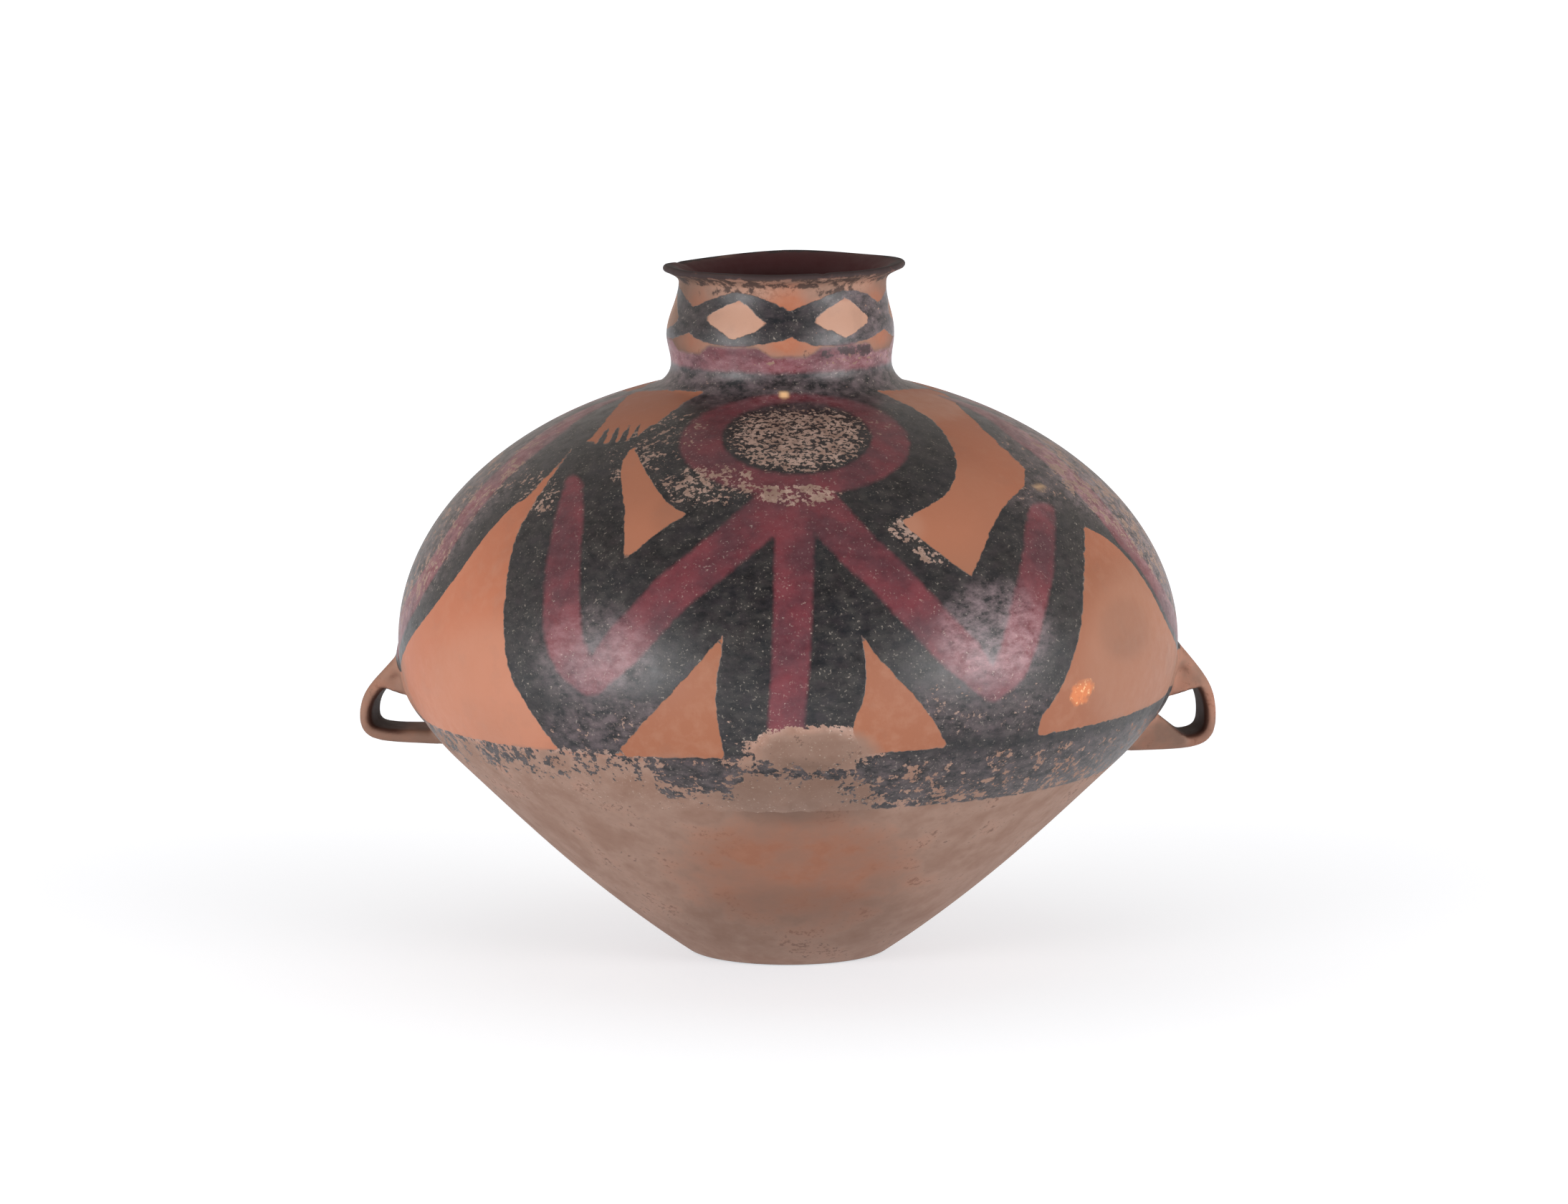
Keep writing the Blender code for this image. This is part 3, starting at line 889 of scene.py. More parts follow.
@dataclass(frozen=True)
class Wear:
    """Flaked and rubbed paint, a painted highlight on the elbows, and stained or chalky clay."""

    patches: tuple[WornPatch, ...] = patched(
        (5, 262, 36, 18, 0.50),
        (-62, 264, 24, 16, 0.30),
        (-40, 238, 28, 12, 0.42),
        (-70, 247, 11, 10, 0.40),
        (4, 233, 24, 6, 0.50),
        (-60, 290, 40, 8, 0.16, 0.3),
        (0, 292, 40, 8, 0.14, 0.4),
        (50, 292, 30, 8, 0.12, 0.3),
        (45, 272, 14, 10, 0.24),
        (62, 216, 12, 8, 0.48),
        (78, 204, 14, 8, 0.42),
        (-130, 234, 14, 14, 0.34),
        (-88, 248, 5, 10, 0.36),
        (-84, 114, 42, 14, 0.22, 0.34),
        (128, 250, 24, 26, 0.26, 0.3),
        # These two pale the paint over the elbows: partly rubbed paint, partly a painted highlight.
        (-100, 150, 30, 26, 0.05, 0.40),
        (106, 162, 28, 26, 0.06, 0.80),
        (100, 125, 40, 16, 0.20, 0.25),
        (-36, 108, 14, 10, 0.26),
        (14, 104, 38, 11, 0.80),
        (-46, 86, 22, 20, -0.40),
        (12, 91, 40, 4, -0.34),
    )
    belly_flaking: Corners = (
        (-180, 0.30), (-110, 0.40), (-75, 0.46), (-45, 0.52), (-30, 0.60), (-20, 0.56), (-10, 0.70),
        (8, 0.72), (16, 0.34), (40, 0.28), (75, 0.30), (110, 0.32), (180, 0.30),
    )
    stains: tuple[WornPatch, ...] = patched(
        (172.6, 164, 13, 16, 0.0, 0.20),
        (-62, 272, 40, 16, 0.0, 0.08),
        (-54, 220, 16, 14, 0.0, 0.15),
        # The rows at heights 80, 42 and 14 darken the front of the cone towards its middle.
        (6, 80, 44, 16, 0.0, 0.60),
        (4, 42, 58, 30, 0.0, 0.24),
        (14, 101, 30, 9, 0.0, 0.48),
        (3, 14, 64, 18, 0.0, 0.30),
        (180, 130, 30, 34, 0.0, 0.12),
    )
    bald: WornPatch = WornPatch(14, 101, 33, 12, 1.0)
    chalky: tuple[WornPatch, ...] = patched(
        (182, 150, 30, 50, 0.0, 0.24),
        (-150, 130, 40, 40, 0.0, 0.25),
        (60, 278, 40, 8, 0.0, 0.35),
        (56, 216, 14, 10, 0.0, 0.22),
        (-78, 226, 36, 40, 0.0, 0.14),
        (84, 218, 36, 34, 0.0, 0.14),
    )

    def on_front(self, points: Array, kind: str) -> Array:
        """The greatest flaking or rubbing that any patch gives each point, less what a kept patch spares."""
        worst, kept = np.zeros(len(points)), np.zeros(len(points))
        for patch in self.patches:
            amount = patch.share(points) * getattr(patch, kind)
            worst, kept = np.maximum(worst, amount), np.minimum(kept, amount)
        return worst + kept


LAYERS = (
    "black_reach", "maroon_reach", "flaking", "rubbing_and_highlight", "slip", "warmth_and_light", "bloom", "spall", "drips",
    "darkening", "fineness", "lining", "lip_soot", "cavity", "painted_loop_shade",
)


@dataclass
class Painting:
    """Everything brushed onto the jar, and painted shade inside it, worked out for each vertex of its mesh.

    Lengths are in millimetres. A pair of numbers is where a change begins and ends, and a row of
    lip_soot is its strength, its middle and spread round the neck, and its two heights.
    """

    viewpoint: Viewpoint
    outline: JarOutline
    figure: FigureDrawing = FigureDrawing()
    side_band: SideBand = field(default_factory=SideBand)
    braid: NeckBraid = NeckBraid()
    wear: Wear = Wear()
    foot_of_neck: float = 307.0
    spall: tuple[float, float, float, float, float] = (151.0, 132.0, 9.5, 5.6, 52.0)
    drips: tuple[tuple[float, float, float], ...] = ((-2.0, 284.0, 1.0), (129.0, 237.0, 0.45))
    belly_top: tuple[float, float] = (131.5, 6.0)
    belly_low: tuple[float, float] = (100.0, 2.0)
    shoulder_top: float = 296.0
    lip_line: float = 352.0
    hard_reach: float = 15.0
    skin: tuple[float, float] = (-2.4, -1.5)
    wall_skin: tuple[float, float] = (3.2, 2.2)
    lining_edge: tuple[float, float] = (338.0, 343.0)
    lining_depth: float = 40.0
    cavity_shade: tuple[float, float] = (342.0, 300.0)
    # Where the slip is warmer and lighter: partly its own tone, partly painted light.
    warm_side: tuple[float, float] = (-92.0, -124.0)
    warm_fields: tuple[float, float] = (190.0, 214.0)
    warm_beside: tuple[float, float] = (8.0, 20.0)
    warm_share: float = 0.6
    lip_soot: tuple[tuple[float, ...], ...] = (
        (0.62, 0.55, 0.34, 334.0, 343.0), (0.58, -0.50, 0.40, 338.0, 345.0),
    )
    under_strap: tuple[float, float] = (122.0, 108.0)

    def layers(self, places: Array) -> dict[str, Array]:
        """Work out the painted layers.

        Args:
            places: the unslumped vertices in metres.

        Returns:
            By attribute name, one number for each vertex.
        """
        proud = self.outline.proud(places) / MM
        outside = ramp(*self.skin, proud)
        on_wall = outside * ramp(*self.wall_skin, proud)
        turn = np.arctan2(places[:, 0], -places[:, 1])
        height = places[:, 2] / MM
        at_back = places[:, 1] > 0
        faced = places * np.where(at_back, -1.0, 1.0)[:, None] * [1, 1, 0] + places * [0, 0, 1]
        flat = self.viewpoint.drawing(np.where(at_back[:, None], faced, self.outline.slumped(places)))
        forwards = -faced[:, 1] / MM

        band = np.where(
            places[:, 0] > 0, self.side_band.reach(forwards, height, Side.RIGHT),
            self.side_band.reach(forwards, height, Side.LEFT),
        )
        bare = self.figure.bare(flat, band)
        belly_top, belly_low = (
            middle + tilt * np.sin(turn) for middle, tilt in (self.belly_top, self.belly_low))
        bare = np.minimum(bare, height - belly_top)
        black = np.minimum(-bare, np.minimum(height - belly_low, self.foot_of_neck - height))
        neck = height > self.foot_of_neck
        black = np.where(neck, np.maximum(black, self.braid.black(
            turn + 0.025 * np.sin(0.4 * height), height + 0.9 * np.sin(5.3 * turn + 1.0))), black)

        stripes = np.minimum(self.side_band.maroon(forwards, height), band - 4.0)
        maroon = np.maximum(self.figure.maroon(flat), stripes)
        maroon = np.minimum(maroon, np.minimum(height - belly_top - 2.0, self.shoulder_top - height))
        ring = np.minimum(self.braid.maroon(turn, height), 3.0 - black * (height > self.braid.ring[1]))
        maroon = np.maximum(maroon, ring)

        flaking, rubbing_and_highlight = self.worn(flat, turn, height, band, ramp(-0.03, 0.05, places[:, 1]), neck)
        within = height > self.outline.spring / MM + self.lining_depth
        on_lip = 0.92 * outside * ramp(self.lip_line, self.lip_line + 1.2, height)
        limit, off_wall = self.hard_reach, self.hard_reach * (1 - on_wall)
        return {
            "black_reach": np.clip(black, -limit, limit) * on_wall - off_wall,
            "maroon_reach": np.clip(maroon, -limit, limit) * on_wall - off_wall,
            "flaking": flaking,
            "rubbing_and_highlight": rubbing_and_highlight,
            "slip": self.slip(flat, turn, height, proud, belly_top) * outside,
            # Warmer, lighter slip: partly its own tone, partly painted light on the left flank and upper
            # fields.
            "warmth_and_light": outside * np.maximum.reduce([
                ramp(*self.warm_side, np.where(neck, 0.0, flat[:, 0])), self.warm_share * neck,
                self.warm_share * ~neck * ramp(*self.warm_fields, flat[:, 1])
                * ramp(*self.warm_beside, np.abs(flat[:, 0]))]),
            "bloom": outside * np.where(
                neck, self.braid.chalk(turn, height),
                ~at_back * sum(patch.share(flat) * patch.rubbing_and_highlight for patch in self.wear.chalky)),
            "spall": on_wall * ~at_back * self.torn(flat),
            "drips": on_wall * ~at_back * np.maximum.reduce([
                amount * ramp(3.0, 1.0, np.hypot((flat[:, 0] - x) * 0.8, (flat[:, 1] - y) * 1.2))
                for x, y, amount in self.drips]),
            "fineness": np.where(neck, 0.5, 0.36) * ramp(127.0, 133.0, height) * ramp(16.0, 4.0, band)
            + 0.64 * ~at_back * ramp(-2, 2, self.figure.oval_reach(flat, self.figure.face)),
            "lining": np.maximum((1.0 - outside) * ramp(*self.lining_edge, height) * within, on_lip),
            "lip_soot": np.maximum.reduce([
                outside * neck * (0.62 * ramp(344.5, 349.0, height) + 0.4 * ramp(352.2, 353.4, height)),
                *(outside * neck * amount * swell(middle, spread, turn) * ramp(low, high, height)
                  for amount, middle, spread, low, high in self.lip_soot),
                outside * neck * 0.82 * swell(0.62, 0.42, turn)
                * ramp(319.0, 316.0, height) * ramp(310.0, 313.0, height),
                0.95 * ramp(353.6, 354.8, height)]),
            # Darkening: stains on the front, the neck towards its sides and most on the left, and the straps
            # low down.
            "darkening": outside * np.maximum.reduce([
                ~at_back * sum(patch.share(flat) * patch.rubbing_and_highlight for patch in self.wear.stains),
                0.55 * neck * ramp(0.9, 1.4, np.abs(turn)),
                0.90 * neck * swell(-1.20, 0.40, turn),
                0.42 * ramp(1.5, 3.5, proud) * ramp(*self.under_strap, height) * ~neck]),
            # Painted shade: the inside darkens deeper down.
            "cavity": (1.0 - outside) * ramp(*self.cavity_shade, height),
        }

    def worn(
        self, flat: Array, turn: Array, height: Array, band: Array, back: Array, neck: Array,
    ) -> tuple[Array, Array]:
        """How the paint flakes and rubs away, with a painted highlight over the elbows.

        Args:
            flat: places laid flat from the front, in millimetres.
            turn: azimuth from the front, in radians.
            height: height in millimetres.
            band: how far each place lies inside the side bands.
            back: 0 on the front and 1 on the back, changing gently over the sides.
            neck: whether it is on the neck.

        Returns:
            Flaking, and rubbed wear with the elbows' painted highlight, from 0 to 1.
        """
        on_front = self.wear.on_front(flat, "flaking")
        flaking = 0.03 + (1.0 - 0.65 * back) * np.maximum(on_front, 0.0)
        rubbing_and_highlight = 0.10 + (1.0 - 0.5 * back) * self.wear.on_front(flat, "rubbing_and_highlight")
        on_band = ramp(2.0, 22.0, band)
        flaking = np.maximum(flaking, on_band * np.where(turn > 0, 0.42, 0.32) * (1.0 - 0.4 * back))
        rubbing_and_highlight = np.maximum(rubbing_and_highlight, on_band * np.where(turn > 0, 0.95, 0.46) * (1.0 - 0.3 * back))
        low = np.interp(np.degrees(turn), *zip(*self.wear.belly_flaking))
        on_belly = ramp(133.0, 128.0, height)
        low = low + 0.34 * ramp(124.0, 103.0, height) * ramp(0.35, -0.35, turn)
        low = low + 0.14 * ramp(112.0, 102.0, height) + (1.0 - back) * np.minimum(on_front, 0.0)
        flaking = np.maximum(flaking, on_belly * low)
        rubbing_and_highlight = np.maximum(rubbing_and_highlight, on_belly * 0.3)
        under_braid = ramp(315.0, 311.0, height)
        flaking = np.where(neck, 0.12 + 0.10 * ramp(0.3, 0.9, turn) + 0.14 * under_braid, flaking)
        rubbing_and_highlight = np.where(neck, 0.18 + 0.42 * ramp(0.2, 0.7, turn) + 0.4 * under_braid, rubbing_and_highlight)
        ring_wear = ramp(286, 292, height) * ~neck
        flaking = flaking * (1 - ring_wear) + ring_wear * 0.14
        rubbing_and_highlight = np.maximum(rubbing_and_highlight, 0.5 * ring_wear)
        return np.clip(flaking, 0, 1), np.clip(rubbing_and_highlight, 0, 1)

    def torn(self, flat: Array) -> Array:
        """The fresh break on the right field: a slanting oval."""
        across, up, half_long, half_short, tilt_deg = self.spall
        x, y = flat[:, 0] - across, flat[:, 1] - up
        tilt = math.radians(tilt_deg)
        along, over = x * math.cos(tilt) + y * math.sin(tilt), y * math.cos(tilt) - x * math.sin(tilt)
        return ramp(1.3, 0.6, np.hypot(along / half_long, over / half_short))

    def slip(self, flat: Array, turn: Array, height: Array, proud: Array, belly_top: Array) -> Array:
        """How much of the orange slip lies on the clay.

        Args:
            flat: places laid flat from the front, in millimetres.
            turn: azimuth from the front, in radians.
            height: height in millimetres.
            proud: how far each place stands out of the wall, in millimetres.
            belly_top: the height at which the bare fields end.

        Returns:
            1 on the shoulder, less on the neck away from the braid, on the straps and on the cone.
        """
        shoulder = ramp(belly_top - 2.5, belly_top + 0.5, height) * (1 - self.wear.bald.share(flat))
        crossing = self.braid.from_lozenge(turn)
        rise = height - self.braid.middle
        near_braid = ramp(self.braid.strand_top + 7.0, self.braid.strand_top - 3.0, np.abs(rise))
        near_braid = near_braid * (1 - 0.4 * ramp(7.0, 13.0, rise))
        lozenges = ramp(0.62, 0.5, crossing) * ramp(12.0, 10.0, np.abs(rise))
        neck = 0.22 + 0.72 * near_braid * np.maximum(ramp(0.35, 1.0, crossing), lozenges)
        straps = ramp(0.8, 1.8, proud)
        cone = 0.68 * ramp(1.3, 0.3, np.hypot((flat[:, 0] - 4.0) / 66.0, (flat[:, 1] - 42.0) / 34.0))
        wall = np.where(height > self.foot_of_neck, neck, np.maximum(shoulder, cone))
        by_strap = ramp(0.52, 0.20, np.abs(np.abs(turn) - math.pi / 2 - 0.14)) * ramp(176.0, 150.0, height)
        wall = wall * (1 - 0.5 * by_strap)
        return np.clip(wall * (1 - straps) + np.where(turn > 0, 0.28, 0.36) * straps, 0, 1)


# The finish

@dataclass(frozen=True)
class PaintedEarthenware:
    """Low-fired red earthenware, coil-built, slipped, painted with mineral colours and lightly burnished.

    The eye sees a matt tan body, a warmer and closer orange slip, and black and maroon paint with a soft
    burnished gloss that flakes off in small pale scabs.
    """

    clay: str = "7A5D4F"
    clay_pale: str = "896F62"
    clay_dark: str = "543F34"
    # Warmer, lighter slip: partly its own tone, partly painted light.
    slip_warm_and_lit: str = "A06045"
    slip_brown: str = "87533A"
    slip_deep: str = "824E38"
    slip_pale: str = "A98470"
    black: str = "0F0E10"
    black_cool: str = "15161A"
    black_green: str = "242622"
    # Rubbed black, also the painted highlight over the elbows.
    black_rubbed_and_highlight: str = "756468"
    maroon: str = "632A31"
    maroon_deep: str = "45232A"
    # Rubbed maroon, also the painted highlight over the elbows.
    maroon_rubbed_and_highlight: str = "8C676C"
    scab: str = "A18A7F"
    scab_dark: str = "7C675C"
    fleck: str = "CDBFB2"
    fresh_break: str = "B86B40"
    fresh_glint: str = "DDB283"
    soot: str = "211A1B"
    lining: str = "3C1719"
    # Painted shade inside the loops.
    loop_shade_tone: str = "3A1D13"
    rough_clay: float = 0.78
    rough_slip: float = 0.56
    rough_paint: float = 0.41
    ior: float = 1.45
    sheen: float = 0.43
    contrast: tuple[float, float] = (0.32, 0.68)
    edge_waver_mm: float = 2.6
    edge_soft_mm: tuple[tuple[str, float], ...] = (("black_reach", 0.35), ("maroon_reach", 1.5))
    flake_edge: float = 0.05
    fleck_share: float = 0.45
    soot_share: float = 0.8
    bump_strength: float = 0.35
    paint_thickness: float = 0.00025

    def material(self) -> bpy.types.Material:
        """Build the finish from the mesh's painted layers."""
        made = bpy.data.materials.new("painted_earthenware")
        made.use_nodes = True
        tree = made.node_tree
        tree.nodes.clear()
        place = put(tree, Kind.PLACE)
        layer = {name: put(tree, Kind.HELD, attribute_name=name) for name in LAYERS}
        grain = self.grains(tree, place)
        body = self.body_colour(tree, layer, grain)
        paint, cover = self.paint(tree, layer, grain)
        scab = put(tree, Kind.MIX, grain["mid"], linear(self.scab_dark), linear(self.scab))
        painted_area = put(tree, Kind.EASED, cover["area"], 0.2, 0.8, 0.0, 0.9)
        painted_area = put(tree, Kind.TIMES, painted_area, layer["slip"])
        ground = put(tree, Kind.MIX, painted_area, body, scab)
        colour = put(tree, Kind.MIX, cover["paint"], ground, paint)
        colour = self.marks(tree, layer, grain, colour, cover)
        self.shade(tree, layer, grain, colour, cover)
        return made

    def grains(self, tree: Tree, place: Socket) -> Sockets:
        """The patterns, each at its real size: cloudy firing, paint scabs, flecks and sand grains."""
        sizes = {
            "cloud": (70.0, 3.0, 0.5), "blotch": (22.0, 4.0, 0.6), "mid": (7.0, 4.0, 0.6),
            "scabs": (2.6, 4.0, 0.65), "edge": (5.0, 3.0, 0.6), "grit": (1.0, 2.0, 0.6),
        }
        made = {}
        for name, (size_mm, detail, rough) in sizes.items():
            made[name + "_raw"] = put(tree, Kind.NOISE, place, per_metre(size_mm), detail, rough)
        for name in ("cloud", "blotch", "mid", "scabs"):
            made[name] = put(tree, Kind.EASED, made[name + "_raw"], *self.contrast)
        flat = put(tree, Kind.TURNED, place, (0.6, 0.6, 1.0))
        lines = put(tree, Kind.NOISE, flat, per_metre(1.4), 4.0, 0.6)
        made["lines"] = put(tree, Kind.SPAN, lines, 0.34, 0.66)
        slanted = put(tree, Kind.TURNED, place, (0.55, 0.55, 1.0), (0.0, math.radians(20.0), 0.0))
        scratch = put(tree, Kind.NOISE, slanted, per_metre(4.0), 5.0, 0.7)
        made["scratch"] = put(tree, Kind.SPAN, scratch, 0.36, 0.64)
        dust = put(tree, Kind.NOISE, place, per_metre(1.25), 1.0, 0.5)
        dust = put(tree, Kind.SPAN, dust, 0.63, 0.84)
        made["dust"] = put(tree, Kind.TIMES, dust, made["mid"])
        return made

    def body_colour(self, tree: Tree, layer: Sockets, grain: Sockets) -> Socket:
        """Bare clay and slip with firing clouds, stains and dark grains; warmer slip is partly painted
        light.
        """
        clay = put(tree, Kind.MIX, grain["blotch"], linear(self.clay), linear(self.clay_pale))
        darkening = put(tree, Kind.SPAN, grain["mid_raw"], 0.5, 0.72, 0.0, 0.1)
        clay = put(tree, Kind.MIX, darkening, clay, linear(self.clay_dark))
        speck = put(tree, Kind.TIMES, grain["scabs_raw"], grain["blotch_raw"])
        speck = put(tree, Kind.SPAN, speck, 0.335, 0.375, 0.0, 0.55)
        clay = put(tree, Kind.MIX, speck, clay, linear(self.soot))
        # The warmer, lighter slip is partly painted light.
        slip = put(tree, Kind.MIX, layer["warmth_and_light"], linear(self.slip_brown), linear(self.slip_warm_and_lit))
        cloudy = put(tree, Kind.TIMES, grain["cloud"], 0.35)
        slip = put(tree, Kind.MIX, cloudy, slip, linear(self.slip_deep))
        bloom = put(tree, Kind.SPAN, grain["mid_raw"], 0.45, 0.75, 0.0, 0.2)
        bloom = put(tree, Kind.GREATEST, bloom, layer["bloom"])
        slip = put(tree, Kind.MIX, bloom, slip, linear(self.slip_pale))
        patchy = put(tree, Kind.MINUS, grain["blotch"], 0.5)
        patchy = put(tree, Kind.TIMES_PLUS, patchy, 0.45, layer["slip"])
        share = put(tree, Kind.SPAN, patchy, 0.1, 0.85)
        body = put(tree, Kind.MIX, share, clay, slip)
        mark = put(tree, Kind.TIMES, layer["darkening"], 0.9)
        return put(tree, Kind.MIX, mark, body, linear(self.clay_dark))

    def paint(self, tree: Tree, layer: Sockets, grain: Sockets) -> tuple[Socket, Sockets]:
        """Black and maroon paint, and where it still covers the clay."""
        waver = put(tree, Kind.MINUS, grain["edge_raw"], 0.5)
        edged = {}
        for name, soft_mm in self.edge_soft_mm:
            moved = put(tree, Kind.TIMES_PLUS, waver, self.edge_waver_mm, layer[name])
            edged[name] = put(tree, Kind.EASED, moved, -soft_mm, soft_mm)
        area = put(tree, Kind.GREATEST, edged["black_reach"], edged["maroon_reach"])
        # Rubbed paint shows paler; over the elbows this paleness is a painted highlight.
        thin = put(tree, Kind.TIMES, layer["rubbing_and_highlight"], grain["scratch"])
        black = put(tree, Kind.MIX, grain["blotch"], linear(self.black), linear(self.black_cool))
        streak = put(tree, Kind.TIMES, grain["scratch"], grain["mid"])
        for share, tone in ((streak, self.black_green), (thin, self.black_rubbed_and_highlight)):
            black = put(tree, Kind.MIX, share, black, linear(tone))
        maroon = put(tree, Kind.MIX, grain["blotch"], linear(self.maroon), linear(self.maroon_deep))
        maroon = put(tree, Kind.MIX, thin, maroon, linear(self.maroon_rubbed_and_highlight))
        colour = put(tree, Kind.MIX, edged["maroon_reach"], black, maroon)
        coarse = put(tree, Kind.TIMES, grain["blotch"], 0.2)
        coarse = put(tree, Kind.TIMES_PLUS, grain["mid"], 0.42, coarse)
        coarse = put(tree, Kind.TIMES_PLUS, grain["scabs"], 0.38, coarse)
        fine = put(tree, Kind.TIMES, grain["lines"], 0.75)
        fine = put(tree, Kind.TIMES_PLUS, grain["scabs"], 0.25, fine)
        pattern = put(tree, Kind.BLEND, layer["fineness"], coarse, fine)
        left = put(tree, Kind.MINUS, pattern, layer["flaking"])
        kept = put(tree, Kind.EASED, left, -self.flake_edge, self.flake_edge)
        cover = put(tree, Kind.TIMES, area, kept)
        return colour, {"area": area, "paint": cover}

    def marks(
        self, tree: Tree, layer: Sockets, grain: Sockets, colour: Socket, cover: Sockets,
    ) -> Socket:
        """Pale paint flecks, the fresh break, drips, lip soot, the stained mouth lining and painted shade.
        """
        dot = put(tree, Kind.TIMES, grain["dust"], cover["area"])
        dot = put(tree, Kind.TIMES, dot, self.fleck_share)
        colour = put(tree, Kind.MIX, dot, colour, linear(self.fleck))
        shine = put(tree, Kind.SPAN, grain["scabs_raw"], 0.56, 0.66, 0.0, 0.9)
        glint = put(tree, Kind.MIX, shine, linear(self.fresh_break), linear(self.fresh_glint))
        torn = put(tree, Kind.TIMES_PLUS, grain["mid"], 0.35, layer["spall"])
        torn = put(tree, Kind.SPAN, torn, 0.7, 1.1)
        colour = put(tree, Kind.MIX, torn, colour, glint)
        colour = put(tree, Kind.MIX, layer["drips"], colour, linear(self.fresh_glint))
        smudge = put(tree, Kind.TIMES_PLUS, grain["mid"], 0.6, layer["lip_soot"])
        smudge = put(tree, Kind.TIMES_PLUS, grain["scabs"], 0.3, smudge)
        soot = put(tree, Kind.SPAN, smudge, 0.94, 1.16, 0.0, self.soot_share)
        # The last two are painted shade: in the loops and deep inside the jar.
        laid_over = (
            (layer["lining"], self.lining), (soot, self.soot), (layer["painted_loop_shade"], self.loop_shade_tone),
            (layer["cavity"], self.clay_dark),
        )
        for share, tone in laid_over:
            colour = put(tree, Kind.MIX, share, colour, linear(tone))
        return colour

    def shade(
        self, tree: Tree, layer: Sockets, grain: Sockets, colour: Socket, cover: Sockets,
    ) -> None:
        """Gloss, paint thickness and the clay's own grain."""
        dull = put(tree, Kind.SPAN, layer["slip"], 0.2, 0.9, self.rough_clay, self.rough_slip)
        rough = put(tree, Kind.BLEND, cover["paint"], dull, self.rough_paint)
        uneven = put(tree, Kind.MINUS, grain["mid_raw"], 0.5)
        rough = put(tree, Kind.TIMES_PLUS, uneven, 0.35, rough, use_clamp=True)
        skin = put(tree, Kind.TIMES_PLUS, grain["mid_raw"], 0.5, cover["paint"])
        relief = put(tree, Kind.TIMES_PLUS, grain["grit_raw"], 0.45, skin)
        bump = put(tree, Kind.BUMP, self.bump_strength, self.paint_thickness, relief)
        put(tree, Kind.SURFACE, put(tree, Kind.POTTERY, colour, rough, bump, self.ior, 0.0, self.sheen))


# The whole jar

@dataclass
class PaintedJar:
    """The fired jar: wall and straps in one piece, painted and worn."""

    viewpoint: Viewpoint
    outline: JarOutline = field(default_factory=JarOutline)
    finish: PaintedEarthenware = PaintedEarthenware()
    loop_middle: tuple[float, float] = (0.2010, 0.1215)
    strap_side: float = 0.14
    strap_top: float = 0.17
    near_wall: float = 0.006
    seam_band: tuple[float, float] = (0.0005, 0.0030)
    seam_depth: float = 0.0015
    blend_reach: float = 0.0042
    blend_rounds: int = 14

    def build(self) -> bpy.types.Object:
        """Join wall and straps and smear the joints."""
        wall = VesselWall(self.outline).build()
        straps = [StrapHandle(side, self.outline).build() for side in Side]
        for strap in straps:
            log.info("strap %s: %d faces", strap.name, len(strap.data.polygons))
            join = wall.modifiers.new("luted", "BOOLEAN")
            join.operation = "UNION"
            join.solver = "MANIFOLD"
            join.object = strap
        jar = plain_mesh(wall, "painted_jar")
        for strap in straps:
            bpy.data.objects.remove(strap, do_unlink=True)
        self.smear_joints(jar.data)
        return jar

    def smear_joints(self, mesh: bpy.types.Mesh) -> None:
        """Round the clay where the straps meet the wall."""
        places = read_places(mesh)
        proud = self.outline.proud(places)
        near = (np.abs(places[:, 0]) > self.strap_side) & (np.abs(proud) < self.near_wall)
        near &= places[:, 2] < self.strap_top
        seam = places[near & (proud > self.seam_band[0]) & (proud < self.seam_band[1])]
        chosen = []
        candidates = np.flatnonzero(near & (proud > -self.seam_depth))
        for block in np.array_split(candidates, max(1, len(candidates) // 2000)):
            gap = np.linalg.norm(places[block][:, None] - seam[None], axis=2).min(axis=1)
            chosen.append(block[gap < self.blend_reach])
        work = bmesh.new()
        work.from_mesh(mesh)
        work.verts.ensure_lookup_table()
        verts = [work.verts[int(i)] for i in np.concatenate(chosen)]
        for _ in range(self.blend_rounds):
            bmesh.ops.smooth_vert(
                work, verts=verts, factor=0.5, use_axis_x=True, use_axis_y=True, use_axis_z=True)
        work.to_mesh(mesh)
        work.free()

    def painted_loop_shade(self, mesh: bpy.types.Mesh, places: Array) -> Array:
        """Painted shade on the inner faces of the loops, where they turn in towards the loop's middle."""
        facing = np.empty(len(places) * 3)
        mesh.vertices.foreach_get("normal", facing)
        facing = facing.reshape(-1, 3)
        radius = np.hypot(places[:, 0], places[:, 1])
        to_middle = np.stack([self.loop_middle[0] - radius, self.loop_middle[1] - places[:, 2]], axis=1)
        away = np.linalg.norm(to_middle, axis=1)
        outwards = (places[:, :2] * facing[:, :2]).sum(axis=1) / np.maximum(radius, 1e-6)
        turned_in = (to_middle[:, 0] * outwards + to_middle[:, 1] * facing[:, 2]) / np.maximum(away, 1e-6)
        on_side = np.abs(np.arctan2(places[:, 1], np.abs(places[:, 0])) - Side.RIGHT.azimuth)
        in_shade = 0.9 * ramp(0.194, 0.204, radius) * ramp(0.15, 0.65, turned_in)
        return in_shade * ramp(0.034, 0.026, away) * ramp(0.12, 0.085, on_side)

    def dress(self, jar: bpy.types.Object) -> None:
        """Hold the painting on the mesh, let the neck slump and give the finish."""
        mesh = jar.data
        places = read_places(mesh)
        layers = Painting(self.viewpoint, self.outline).layers(places)
        # The loops' inner faces get painted shade.
        layers["painted_loop_shade"] = self.painted_loop_shade(mesh, places)
        for name, values in layers.items():
            store = mesh.attributes.new(name, "FLOAT", "POINT")
            store.data.foreach_set("value", np.ascontiguousarray(values, np.float32))
        write_places(mesh, self.outline.slumped(places))
        mesh.polygons.foreach_set("use_smooth", [True] * len(mesh.polygons))
        mesh.materials.clear()
        mesh.materials.append(self.finish.material())
        mesh.update()
        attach(jar, "root")
        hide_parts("jar")


# The studio

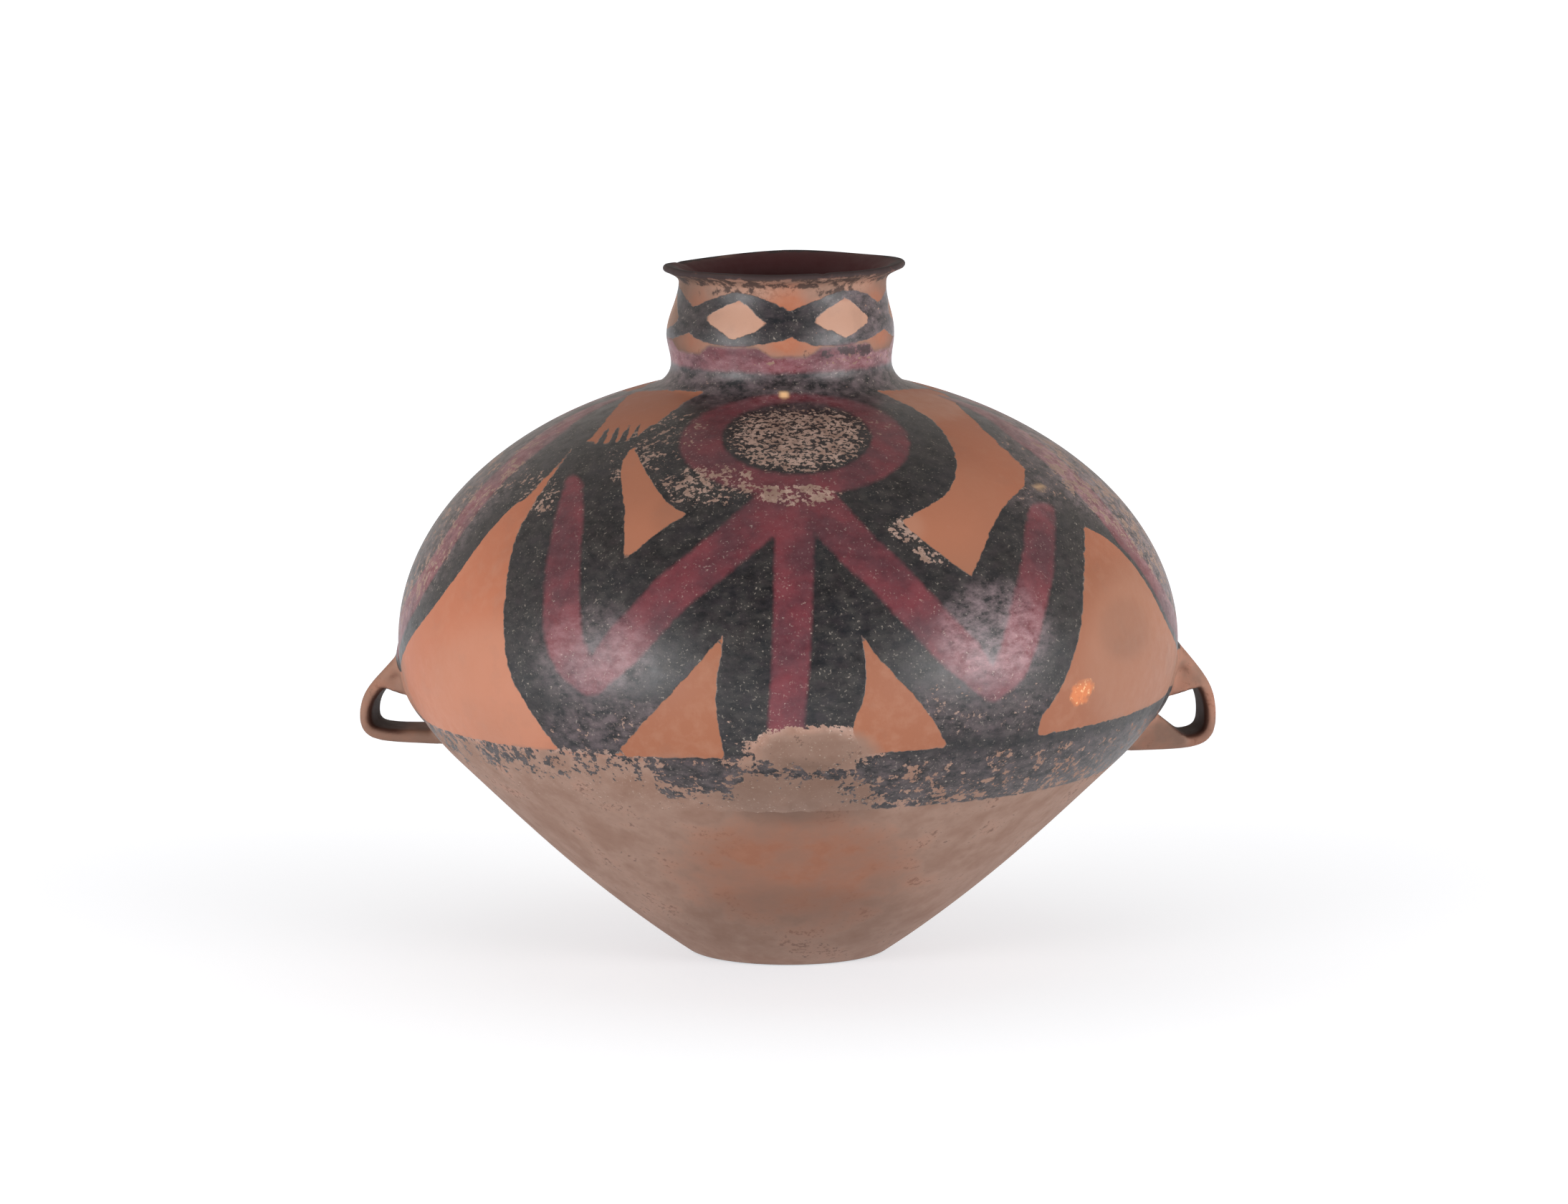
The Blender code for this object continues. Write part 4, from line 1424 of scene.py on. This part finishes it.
@dataclass(frozen=True)
class Studio:
    """A pale paper floor glowing with painted light, in soft daylight-white light from both sides."""

    paper: str = "D0D0D0"
    paper_glow_tint: str = "F4F9FF"
    paper_roughness: float = 0.9
    # The paper's painted glow: weaker near the jar, stronger far off.
    glow_reach: tuple[float, float] = (0.15, 1.1)
    paper_glow: tuple[float, float] = (0.55, 0.89)
    sky: str = "FFF6EE"
    sky_strength: float = 0.82
    sky_in_front: float = 0.06
    sky_overhead: float = 0.60
    box_turns_deg: tuple[float, float] = (-48.0, 54.0)
    box_distance: float = 3.0
    box_size: float = 1.7
    box_height: float = 0.22
    box_watts: float = 119.0

    def floor(self) -> bpy.types.Object:
        """A wide sheet of white paper: matt, faintly cool, with a painted glow that is weaker near the jar.
        """
        work = bmesh.new()
        bmesh.ops.create_grid(work, x_segments=1, y_segments=1, size=60.0)
        bmesh.ops.translate(work, verts=work.verts, vec=(0.0, 0.0, -0.0002))
        made = moulded(work, "floor")
        material = bpy.data.materials.new("glowing_white_paper")
        material.use_nodes = True
        tree = material.node_tree
        tree.nodes.clear()
        away = put(tree, Kind.LENGTH, put(tree, Kind.PLACE))
        # Painted light: the paper glows, less near the jar, so a soft painted shade lies round it.
        glow = put(tree, Kind.SPAN, away, *self.glow_reach, *self.paper_glow)
        shader = put(
            tree, Kind.PAPER, linear(self.paper), self.paper_roughness, linear(self.paper_glow_tint), glow)
        put(tree, Kind.SURFACE, shader)
        made.data.materials.append(material)
        return made

    def light(self) -> None:
        """A white tent, darker overhead and open towards the eye, and a large soft box on each side."""
        world = bpy.data.worlds.new("studio")
        bpy.context.scene.world = world
        world.use_nodes = True
        tree = world.node_tree
        tree.nodes.clear()
        way = put(tree, Kind.WAY)
        ahead = put(tree, Kind.ALONG_Y, way)
        strength = put(tree, Kind.EASED, ahead, -0.85, -0.1, self.sky_in_front, self.sky_strength)
        top = put(tree, Kind.EASED, put(tree, Kind.ALONG_Z, way), 0.25, 0.85, 1.0, self.sky_overhead)
        strength = put(tree, Kind.TIMES, strength, top)
        put(tree, Kind.WORLD, put(tree, Kind.TENT, linear(self.sky), strength))
        for name, turn_deg in zip(("left_box", "right_box"), self.box_turns_deg):
            data = bpy.data.lights.new(name, "AREA")
            data.shape = "RECTANGLE"
            data.size = data.size_y = self.box_size
            data.energy = self.box_watts
            turn = math.radians(turn_deg)
            box = bpy.data.objects.new(name, data)
            box.location = (
                self.box_distance * math.sin(turn), -self.box_distance * math.cos(turn), self.box_height
            )
            aim = Vector((0.0, 0.0, 0.18)) - box.location
            box.rotation_mode = "QUATERNION"
            box.rotation_quaternion = aim.to_track_quat("-Z", "Y")
            box.visible_camera = False
            bpy.context.scene.collection.objects.link(box)
        bpy.context.scene.view_settings.view_transform = "Standard"


def main() -> None:
    """Build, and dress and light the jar."""
    logging.basicConfig(level=logging.INFO, format="%(name)s: %(message)s")
    viewpoint = Viewpoint()
    maker = PaintedJar(viewpoint)
    jar = maker.build()
    maker.dress(jar)
    jar.data.calc_loop_triangles()
    log.info("jar %s: %d triangles", jar.name, len(jar.data.loop_triangles))
    studio = Studio()
    studio.floor()
    studio.light()
    viewpoint.camera()


if __name__ == "__main__":
    main()
